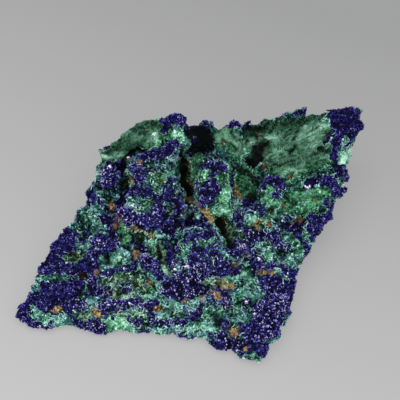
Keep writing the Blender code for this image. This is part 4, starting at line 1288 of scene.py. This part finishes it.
def malachiteColour(tree, tone):
    hues = {hue: colourBand(tree, tone, hue, malachiteLook["stops"])
            for hue in ("malachite", "teal", "silky", "olive")}
    clouds = addSpecks(tree, *malachiteLook["specks"])["Clouds"]
    notGreen = calculate(tree, "SUBTRACT", 1.0, carried(tree, "green"))
    tealShare = calculate(tree, "MULTIPLY", ramped(tree, clouds, *malachiteLook["teal"]), notGreen)
    oliveShare = calculate(tree, "MULTIPLY", ramped(tree, clouds, *malachiteLook["olive"]),
                           carried(tree, "olive"))
    colour = mixColours(tree, tealShare, hues["malachite"], hues["teal"])
    colour = mixColours(tree, carried(tree, "clean"), colour, hues["silky"])
    return mixColours(tree, oliveShare, colour, hues["olive"])


def azuriteColour(tree, share):
    return colourBand(tree, share, "azurite", (0.2, 0.44, 0.66, 0.87, 1.0))


def limoniteColour(tree, share):
    return colourBand(tree, share, "limonite", (0.0, 0.5, 1.0))


crustLook = {
    "specks": (0.3, 1.4),  # mm
    # The crust is painted darker than its crystals, as painted shade between them
    "tone": -0.24,  # beside the tone of the patches
    "toneGains": {"clean": 0.19, "green": 0.05},
    "clouds": 0.6,
    "speckContrast": 0.5,
    "cleanCalm": -0.4,  # change of the specks' contrast where malachite is clean
    "rim": (-0.14, 0.14),  # field at the middle of the pale rim around azurite, and its half width
    "rimGain": 0.4,
    "blueContrast": 0.8,
    "rustClouds": 0.8,
    "raggedness": (0.15, 0.3),  # of the azurite's border, and what mixing adds
    "borderSharpness": 8.0,
    "cavityShade": 1.1,
    # Painted shade along a line inside the pale rim, on the azurite's side
    "paintedShadeLine": (0.12, 0.14),  # field at the middle of the dark seam inside that rim, and its half width
    "seamShade": 0.8,
    "deepest": 0.92,  # of the way to the hollow colour
    "darkShade": 0.96,
    "roughness": (0.85, -0.35),  # of malachite, and what azurite adds
    "specular": 0.03,
    "bump": {"Strength": 0.8, "Distance": 0.08 * mm},
}


def crustFinish():
    look = crustLook
    material, tree, shader = startMaterial("ore_crust")
    fine = addSpecks(tree, *look["specks"])
    tone = gained(tree, carried(tree, "tone"), look["toneGains"])
    tone = shifted(tree, calculate(tree, "ADD", tone, look["tone"]), fine["Clouds"], look["clouds"])
    offset = calculate(tree, "SUBTRACT", fine["Specks"], 0.5)
    calm = added(tree, 1.0, carried(tree, "clean"), look["cleanCalm"])
    tone = added(tree, tone, calculate(tree, "MULTIPLY", offset, calm), look["speckContrast"])
    tone = added(tree, tone, nearField(tree, *look["rim"]), look["rimGain"])
    blueness = calculate(tree, "MULTIPLY", fine["Clouds"], look["blueContrast"])
    blueness = calculate(tree, "MULTIPLY", fine["Specks"], blueness)
    rust = shifted(tree, carried(tree, "rust"), fine["Clouds"], look["rustClouds"])
    raggedness = added(tree, look["raggedness"][0], carried(tree, "mixed"), look["raggedness"][1])
    ragged = added(tree, carried(tree, "field"), offset, raggedness)
    isBlue = added(tree, 0.5, ragged, look["borderSharpness"], clamp=True)
    colour = mixColours(tree, isBlue, malachiteColour(tree, tone), azuriteColour(tree, blueness))
    colour = mixColours(tree, carried(tree, "limonite"), colour, limoniteColour(tree, rust))
    # Painted shade in recesses, in the gaps and along the line inside the rim, toward the shade colour
    shade = calculate(tree, "MULTIPLY", carried(tree, "cavity"), look["cavityShade"], clamp=True)
    paintedShadeLine = calculate(tree, "MULTIPLY", nearField(tree, *look["paintedShadeLine"]), look["seamShade"])
    shade = calculate(tree, "MULTIPLY", calculate(tree, "MAXIMUM", shade, paintedShadeLine), look["deepest"])
    colour = mixColours(tree, shade, colour, hollow)
    # Painted shade: the shaded places are painted toward the shade colour
    paintedShade = calculate(tree, "MULTIPLY", carried(tree, "paintedShade"), look["darkShade"])
    tree.links.new(mixColours(tree, paintedShade, colour, hollow), shader.inputs["Base Color"])
    roughness, azuriteGain = look["roughness"]
    tree.links.new(added(tree, roughness, isBlue, azuriteGain), shader.inputs["Roughness"])
    shader.inputs["Specular IOR Level"].default_value = look["specular"]
    bump = addNode(tree, "ShaderNodeBump", {"Height": fine["Height"], **look["bump"]})
    tree.links.new(bump.outputs["Normal"], shader.inputs["Normal"])
    return material


# Azurite crystals: each has a shade of its own, and the palest, partly painted sparkle, stand in the places
# of painted sparkle
azuriteLook = {
    "specks": (0.25, 2.2),  # mm
    "base": -0.07,
    "spread": (0.92, 0.2),  # of the crystals' own shades, and what sparkling places add
    "gains": {"paintedSparkle": 0.1, "clean": -0.2},
    "clouds": 0.2,
    "bunch": 0.14,
    # Painted light on the dome tops and painted shade between them
    "azuriteDomeShading": 0.2,
    "roughness": (0.5, -0.3),  # of the darkest, and what paleness adds
}


def azuriteFinish(name, specular):
    look = azuriteLook
    material, tree, shader = startMaterial(name)
    shade = carried(tree, "shade")
    fine = addSpecks(tree, *look["specks"])
    spread = added(tree, look["spread"][0], carried(tree, "paintedSparkle"), look["spread"][1])
    share = calculate(tree, "MULTIPLY_ADD", shade, spread, look["base"])
    share = shifted(tree, share, fine["Clouds"], look["clouds"])
    for pattern in ("bunch", "azuriteDomeShading"):
        share = shifted(tree, share, carried(tree, pattern), look[pattern])
    share = gained(tree, share, look["gains"])
    tree.links.new(azuriteColour(tree, share), shader.inputs["Base Color"])
    tree.links.new(added(tree, look["roughness"][0], shade, look["roughness"][1]), shader.inputs["Roughness"])
    shader.inputs["Specular IOR Level"].default_value = specular
    return material


tuftLook = {
    "specks": (0.2, 1.2),  # mm
    "contrast": 0.86,  # from tuft to tuft
    "contrastGains": {"clean": -0.26, "green": -0.26},
    "clouds": 0.36,
    # Painted light on the dome tops and painted shade between them
    "dome": 0.3,
    "rim": (-0.14, 0.2),  # field at the middle of the pale rim around azurite, and its half width
    "rimGain": 0.3,
    "threadStops": (0.0, 0.3, 0.65, 1.0),  # tones of the threads that lie over azurite
    "threadBorder": (0.1, 4.0),  # share of threads at the azurite's border, and how fast it rises
    "threadShare": 0.75,
    "darkShade": 0.97,
    "roughness": (0.55, 0.3),  # least, and what clouds add
    "specular": 0.06,
}


def tuftFinish(name, paleness):
    look = tuftLook
    material, tree, shader = startMaterial(name)
    fine = addSpecks(tree, *look["specks"])
    contrast = gained(tree, look["contrast"], look["contrastGains"])
    offset = calculate(tree, "MULTIPLY", calculate(tree, "SUBTRACT", carried(tree, "shade"), 0.5), contrast)
    tone = calculate(tree, "ADD", carried(tree, "tone"), offset)
    tone = shifted(tree, tone, fine["Clouds"], look["clouds"])
    tone = shifted(tree, tone, carried(tree, "malachiteDomeShading"), look["dome"])
    tone = added(tree, tone, nearField(tree, *look["rim"]), look["rimGain"])
    tone = calculate(tree, "ADD", tone, paleness)
    atBorder, rise = look["threadBorder"]
    onAzurite = added(tree, atBorder, carried(tree, "field"), rise, clamp=True)
    threads = colourBand(tree, tone, "thread", look["threadStops"])
    threadShare = calculate(tree, "MULTIPLY", onAzurite, look["threadShare"])
    colour = mixColours(tree, threadShare, malachiteColour(tree, tone), threads)
    # Painted shade: crystals in the shaded places are painted toward the shade colour
    paintedShade = calculate(tree, "MULTIPLY", carried(tree, "paintedShade"), look["darkShade"])
    tree.links.new(mixColours(tree, paintedShade, colour, hollow), shader.inputs["Base Color"])
    roughness, cloudGain = look["roughness"]
    tree.links.new(added(tree, roughness, fine["Clouds"], cloudGain), shader.inputs["Roughness"])
    shader.inputs["Specular IOR Level"].default_value = look["specular"]
    return material


limoniteLook = {"contrast": 0.9, "roughness": 0.8}


def limoniteFinish():
    material, tree, shader = startMaterial("limonite_grains")
    share = shifted(tree, carried(tree, "rust"), carried(tree, "shade"), limoniteLook["contrast"])
    tree.links.new(limoniteColour(tree, share), shader.inputs["Base Color"])
    shader.inputs["Roughness"].default_value = limoniteLook["roughness"]
    return material


growing = growthTree()
oreCrust.data.materials.append(crustFinish())
azurite, azuriteBlades = azuriteFinish("azurite_grains", 0.04), azuriteFinish("azurite_blades", 0.5)
malachite, malachiteFibres = tuftFinish("malachite_tufts", 0.0), tuftFinish("malachite_fibres", 0.2)
limonite = limoniteFinish()

# What grows on the crust, with gaps and sizes in mm and the lean in degrees
growths = {
    "azurite_grains_left": {
        "form": grain, "mask": "azuriteLeft", "gap": 0.23, "sizes": (0.15, 0.32), "lean": 36, "seed": 1,
        "finish": azurite, "slot": "azurite_crust"},
    "azurite_grains_right": {
        "form": grain, "mask": "azuriteRight", "gap": 0.23, "sizes": (0.15, 0.32), "lean": 36, "seed": 2,
        "finish": azurite, "slot": "azurite_crust"},
    "azurite_blades": {
        "form": blade, "mask": "azuriteTops", "gap": 0.46, "sizes": (0.22, 0.38), "lean": 40, "seed": 3,
        "finish": azuriteBlades, "slot": "azurite_crust"},
    "malachite_tufts": {
        "form": tuft, "mask": "malachiteGrowth", "gap": 0.36, "sizes": (0.2, 0.42), "lean": 180, "seed": 4,
        "finish": malachite, "slot": "malachite"},
    "malachite_fibres": {
        "form": fibre, "mask": "fibreGrowth", "gap": 0.29, "sizes": (0.36, 0.8), "lean": 18, "seed": 6,
        "finish": malachiteFibres, "slot": "malachite"},
    "limonite_grains": {
        "form": tuft, "mask": "limoniteGrowth", "gap": 0.36, "sizes": (0.2, 0.42), "lean": 180, "seed": 5,
        "finish": limonite, "slot": "limonite"},
}
crowding = 1.6  # spots that are tried for each square of the gap


def growOver(name):
    growth = growths[name]
    host = bpy.data.objects.new(name + "_host", oreCrust.data)
    bpy.context.scene.collection.objects.link(host)
    modifier = host.modifiers.new("growth", "NODES")
    modifier.node_group = growing
    values = {
        "Form": growth["form"],
        "Mask": growth["mask"],
        "Per Square Metre": crowding / (growth["gap"] * mm) ** 2,
        "Least Gap": growth["gap"] * mm,
        "Smallest": growth["sizes"][0] * mm,
        "Largest": growth["sizes"][1] * mm,
        "Lean": math.radians(growth["lean"]),
        "Seed": growth["seed"],
        "Finish": growth["finish"],
    }
    for item in growing.interface.items_tree:
        if item.in_out == "INPUT" and item.name in values:
            modifier[item.identifier] = values[item.name]
    graph = bpy.context.evaluated_depsgraph_get()
    mesh = bpy.data.meshes.new_from_object(host.evaluated_get(graph))
    mesh.name = name
    places = placesOf(mesh)
    places[:, 2] = np.maximum(places[:, 2], 0)
    setPlaces(mesh, places)
    piece = bpy.data.objects.new(name, mesh)
    bpy.context.scene.collection.objects.link(piece)
    bpy.data.objects.remove(host)
    mesh.calc_loop_triangles()
    print(name, "has", len(mesh.loop_triangles), "triangles")
    return piece


pieces = {name: (growOver(name), growth["slot"]) for name, growth in growths.items()}
print("crystals grown")


studio = {
    "floorSide": 3.0,  # metres
    "floorGap": 0.02 * mm,  # below the foot
    # Painted fall of light over the floor: paler near the front, darker far back, turned to the right
    "floorFar": paint(141, 141, 141),
    "floorNear": paint(181, 180, 180),
    "floorFade": 0.14,  # metres from the near to the far colour
    "floorSlant": 0.45,  # how far the fade turns to the right
    "floorPaint": 0.35,  # share of the floor's light that it reflects
    "floorGlow": 0.87,  # light of its own, as on a light table
    "floorRoughness": 0.9,
    "floorSpecular": 0.1,
    "worldColour": paint(240, 242, 246),
    "worldStrength": 0.72,
    "key": {"place": (-0.12, -0.05, 0.5), "side": 0.85, "watts": 2.5},
    "fill": {"place": (0.2, -0.4, 0.36), "side": 0.7, "watts": 1.9},
}


# Halfway between the key light and the camera, so that crystals that face it mirror the light
glintAim = (Vector(studio["key"]["place"]).normalized() + viewBack).normalized()

glintLook = {
    "seed": 7,
    "turn": 6,  # radians within which each is turned at random
    "specks": (0.2, 0.6),  # mm
    # Near-white: partly painted glint, beside the key light that the crystals' faces mirror
    "pale": paint(246, 242, 250),
    "shaded": paint(82, 80, 168),
    "roughness": 0.12,
    "ior": 2.4,
    "specular": 1.0,
}

# Pale glassy crystals that sparkle: picture point, size in mm, how many, and how far apart in pixels
glints = {
    "ball": ((110, 167), 1.1, 1, 0.0),
    "ridge": ((129, 158), 0.9, 1, 0.0),
    "ballSide": ((102, 174), 0.4, 4, 4.0),
    "ballFoot": ((106, 183), 0.35, 3, 4.0),
    "wedgeLeft": ((131, 206), 0.6, 6, 4.0),
    "wedgeRight": ((139, 208), 0.45, 5, 4.0),
    "crestLeft": ((153, 134), 0.7, 3, 3.0),
    "crestRight": ((174, 132), 0.8, 2, 2.0),
    "bulgeLeft": ((177, 270), 0.55, 3, 2.5),
    "bulge": ((187, 267), 0.7, 2, 1.5),
    "lobe": ((246, 302), 0.8, 1, 0.0),
    "lobeLow": ((255, 314), 0.6, 1, 0.0),
    "crevice": ((260, 259), 0.6, 3, 2.0),
    "creviceLeft": ((241, 246), 0.45, 5, 3.5),
    "ridgeTop": ((309, 189), 0.8, 4, 3.5),
    "shelf": ((124, 269), 0.6, 1, 0.0),
    "front": ((130, 304), 0.75, 1, 0.0),
    "frontLeft": ((109, 305), 0.6, 1, 0.0),
}


def glintPiece():
    tree = surfaceTree(oreCrust.data)
    aim = glintAim.to_track_quat("Z", "X").to_matrix().to_4x4()
    draw = random.Random(glintLook["seed"])
    bm = bmesh.new()
    for (column, row), size, count, spread in glints.values():
        for _ in range(count):
            across, down = draw.uniform(-spread, spread), draw.uniform(-spread, spread) / 2
            spot = picturePoint(tree, column + across, row + down)
            if spot is None:
                continue
            turned = aim @ Matrix.Rotation(draw.uniform(0, glintLook["turn"]), 4, "Z")
            crystal = grain.data.copy()
            crystal.transform(Matrix.Translation(Vector(spot) * mm) @ turned @ Matrix.Scale(size * mm, 4))
            bm.from_mesh(crystal)
            bpy.data.meshes.remove(crystal)
    return formObject("pale_crystals", bm)


def glintFinish():
    material, tree, shader = startMaterial("pale_crystals")
    fine = addSpecks(tree, *glintLook["specks"])
    colour = mixColours(tree, fine["Clouds"], glintLook["pale"], glintLook["shaded"])
    tree.links.new(colour, shader.inputs["Base Color"])
    shader.inputs["Roughness"].default_value = glintLook["roughness"]
    shader.inputs["IOR"].default_value = glintLook["ior"]
    shader.inputs["Specular IOR Level"].default_value = glintLook["specular"]
    return material


paleCrystals = glintPiece()
paleCrystals.data.materials.append(glintFinish())
pieces["pale_crystals"] = (paleCrystals, "azurite_crust")
pieces["ore_crust"] = (oreCrust, "malachite")
for form in (blade, grain, tuft, fibre):
    bpy.data.objects.remove(form)

for piece, slot in pieces.values():
    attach(piece, "root")
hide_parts("azurite_specimen")
print("pieces on the frame")


def makeFloor():
    bpy.ops.mesh.primitive_plane_add(size=studio["floorSide"], location=(0, 0, -studio["floorGap"]))
    floor = bpy.context.object
    floor.name = "floor"
    material, tree, shader = startMaterial("floor")
    place = addNode(tree, "ShaderNodeTexCoord").outputs["Object"]
    parts = addNode(tree, "ShaderNodeSeparateXYZ", {"Vector": place}).outputs
    # The floor's painted fall of light, from the near to the far colour
    away = added(tree, parts["Y"], parts["X"], studio["floorSlant"])
    share = added(tree, 0.5, away, 1 / studio["floorFade"], clamp=True)
    colour = mixColours(tree, share, studio["floorNear"], studio["floorFar"])
    dim = addNode(tree, "ShaderNodeVectorMath", {0: colour, "Scale": studio["floorPaint"]}, operation="SCALE")
    tree.links.new(dim.outputs[0], shader.inputs["Base Color"])
    tree.links.new(colour, shader.inputs["Emission Color"])
    shader.inputs["Emission Strength"].default_value = studio["floorGlow"]
    shader.inputs["Roughness"].default_value = studio["floorRoughness"]
    shader.inputs["Specular IOR Level"].default_value = studio["floorSpecular"]
    floor.data.materials.append(material)


def makeLight(name):
    light = studio[name]
    data = bpy.data.lights.new(name, "AREA")
    data.energy = light["watts"]
    data.size = light["side"]
    lamp = bpy.data.objects.new(name, data)
    bpy.context.scene.collection.objects.link(lamp)
    place = Vector(light["place"])
    lamp.matrix_world = Matrix.Translation(place) @ place.to_track_quat("Z", "Y").to_matrix().to_4x4()


def makeWorld():
    world = bpy.data.worlds.new("studio")
    bpy.context.scene.world = world
    world.use_nodes = True
    background = world.node_tree.nodes["Background"]
    background.inputs["Color"].default_value = studio["worldColour"]
    background.inputs["Strength"].default_value = studio["worldStrength"]


makeFloor()
makeLight("key")
makeLight("fill")
makeWorld()
bpy.context.scene.view_settings.view_transform = "Standard"
print("studio ready")
